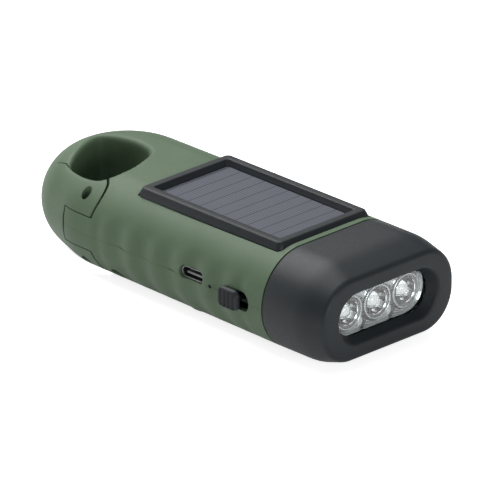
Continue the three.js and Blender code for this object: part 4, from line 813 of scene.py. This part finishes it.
# Crank knob and cell
def crank_knob():
    """A turned grip: straight, with six shallow grip rings, a rounded end and a dished mouth round the axle.
    The profile is (z, radius)."""
    place, bore, radius, round_end = (31.2, -9.0, 0), 1.3, 3.8, 1.6
    grip_start, grip_end, ring_depth, ring_pitch = 8.3, 19.5, 0.12, 1.8667
    start = [(6.8, bore), (6.8, 3.4), (6.9, 3.65), (7.2, radius)]
    grip = [(z, radius - ring_depth * (1 - math.cos(TURN * (z - grip_start) / ring_pitch)))
            for z in np.linspace(grip_start, grip_end, 61)]
    end = [(20.7 + round_end * math.sin(a), radius - round_end + round_end * math.cos(a))
           for a in np.linspace(0, 1.57, 9)]
    mouth = [(22.2, 1.85), (21.9, 1.7), (19.8, 1.65), (19.8, bore)]
    rings = [np.roll(ring, -1, axis=1) + place for ring in turned([*start, *grip, *end, *mouth], 48)]
    new_piece("crank_knob_turned", *ring_body(rings, closed=True), "knob", black_abs, "black_plastic",
              ["crank_knob"])


def cell():
    """A turned cell: shrunk sleeve with rolled edges, metal end rings and the contact tip, as (x, radius)."""
    place, roll, roll_r = (0, 13.2, 9.8), 0.4, 6.8
    tube = [(-16.6, 6.3), *arc((-16.2, roll_r), roll, 180, 90, 5), *arc((33.3, roll_r), roll, 90, 0, 5),
            (33.7, 6.0)]
    tip = [(33.5, 5.9), (33.8, 5.9), (33.8, 2.8), (34.6, 2.7), (34.8, 2.4)]
    bottom = [(-16.7, 5.8), (-16.5, 6.2)]
    new_piece("cell_sleeve_tube", *turned_body(tube, 56, place), "housing", sleeve, "cell_sleeve",
              ["battery"])
    ends = merge_bodies(turned_body(tip, 40, place), turned_body(bottom, 40, place))
    new_piece("cell_end_caps", *ends, "housing", steel, "steel")


true_shell("upper_shell", "housing")
true_shell("lower_shell", "housing")
true_shell("carabiner_gate", "gate")
true_shell("battery_door", "door")
head_bezel()
lens_window()
reflector_cups()
lamps()
solar_frame()
solar_panel()
usb_socket()
switch_knob()
crank_knob()
cell()

# Finishes on the CAD pieces that keep their own shape
finishes = {
    # The board's darkened mask is painted shade behind the switch slot
    "black_plastic": black_abs, "clear_plastic": epoxy, "circuit_board": dark_board_painted_shade, "steel": steel,
    "gear_nylon": nylon, "copper_wire": copper, "foam": foam, "shell_green": green_abs,
    "solar_cells": solar_cells, "mirror_chrome": mirror, "cell_sleeve": sleeve,
}
for entry in frame["record"]["subparts"]:
    node = frame["nodes"][entry["node"]]
    node.data.materials.clear()
    dark = entry["node"] == "charge_light"  # the light is off, behind a smoked pipe
    node.data.materials.append(smoked if dark else finishes[entry["material_slot"]])


# Floor, light and camera
def larger(material, first, second):
    """The larger of two values."""
    return add(material, "ShaderNodeMath", {0: first, 1: second}, operation="MAXIMUM").outputs[0]


def times(material, value, factor):
    """A value times a fixed factor."""
    return add(material, "ShaderNodeMath", {0: value, 1: factor}, operation="MULTIPLY").outputs[0]


def white_for_camera(material, shader, strength, mirrored_share=0.5):
    """Adds plain white light that only the camera, clear pieces and, in part, mirrors see, so the ground
    reads white but keeps its shadow."""
    path = add(material, "ShaderNodeLightPath")
    mirrored = times(material, path.outputs["Is Glossy Ray"], mirrored_share)
    seen = larger(material, path.outputs["Is Camera Ray"], mirrored)
    seen = larger(material, seen, path.outputs["Is Transmission Ray"])
    level = times(material, seen, strength)
    glow = add(material, "ShaderNodeEmission", {"Color": (1, 1, 1, 1), "Strength": level})
    return add(material, "ShaderNodeAddShader", {0: shader.outputs[0], 1: glow.outputs[0]})


def ground():
    """A round pale floor a hair below the object."""
    grey, glow, radius, sides, drop = 0.72, 0.8, 2.6, 96, 0.0001
    m = blank("pale_floor")
    diffuse = add(m, "ShaderNodeBsdfDiffuse", {"Color": (grey, grey, grey, 1)})
    surfaced(m, white_for_camera(m, diffuse, glow))
    t = np.linspace(0, TURN, sides, endpoint=False)
    disc = np.c_[np.cos(t), np.sin(t), np.zeros(sides)] * radius - (0, 0, drop)
    mesh = bpy.data.meshes.new("floor")
    mesh.from_pydata(disc.tolist(), [], [list(range(sides))])
    mesh.materials.append(m)
    obj = bpy.data.objects.new("floor", mesh)
    bpy.context.scene.collection.objects.link(obj)


def softbox(name, place, aim, size, watts):
    """A rectangular light that the camera doesn't see, its size and places in metres."""
    data = bpy.data.lights.new(name, "AREA")
    data.shape = "RECTANGLE"
    data.size, data.size_y = size
    data.energy = watts
    obj = bpy.data.objects.new(name, data)
    bpy.context.scene.collection.objects.link(obj)
    obj.location = place
    obj.rotation_euler = (Vector(aim) - Vector(place)).to_track_quat("-Z", "Y").to_euler()
    obj.visible_camera = False


def surroundings():
    """White round about for the camera and clear pieces, and a dim even light for all else."""
    world = bpy.data.worlds.new("studio")
    bpy.context.scene.world = world
    world.use_nodes = True
    world.node_tree.nodes.clear()
    path = add(world, "ShaderNodeLightPath")
    seen = larger(world, path.outputs["Is Camera Ray"], path.outputs["Is Transmission Ray"])
    level = add(world, "ShaderNodeMapRange", {"Value": seen, "To Min": 0.3, "To Max": 1.0})
    back = add(world, "ShaderNodeBackground", {"Color": (1, 1, 1, 1), "Strength": level.outputs["Result"]})
    add(world, "ShaderNodeOutputWorld", {"Surface": back.outputs[0]})


def camera():
    """Looks from the photograph's side, so far away that the view is nearly parallel."""
    degrees_round, degrees_up, aim = 45.8, 23.3, Vector((13.293, -4.211, 17.918)) * MM
    away, pixels_per_metre, image_pixels = 3.0, 3500, 500
    data = bpy.data.cameras.new("camera")
    data.sensor_width = 36
    data.lens = pixels_per_metre * away * data.sensor_width / image_pixels
    data.clip_start, data.clip_end = 0.1, 20
    obj = bpy.data.objects.new("camera", data)
    bpy.context.scene.collection.objects.link(obj)
    a, e = math.radians(degrees_round), math.radians(degrees_up)
    back = Vector((math.sin(a) * math.cos(e), -math.cos(a) * math.cos(e), math.sin(e)))
    obj.location = aim + back * away
    obj.rotation_mode = "QUATERNION"
    obj.rotation_quaternion = (-back).to_track_quat("-Z", "Y")
    bpy.context.scene.camera = obj


ground()
surroundings()
softbox("softbox_above", place=(-0.55, 0.05, 0.85), aim=(0, 0, 0), size=(1.0, 1.0), watts=17.5)
softbox("softbox_left", place=(-0.95, -0.5, 0.15), aim=(0, 0, 0.015), size=(0.4, 0.25), watts=0.8)
softbox("softbox_front", place=(0.95, -0.2, 0.22), aim=(0.06, 0, 0.015), size=(0.5, 0.35), watts=4.0)
camera()
bpy.context.scene.view_settings.view_transform = "Standard"
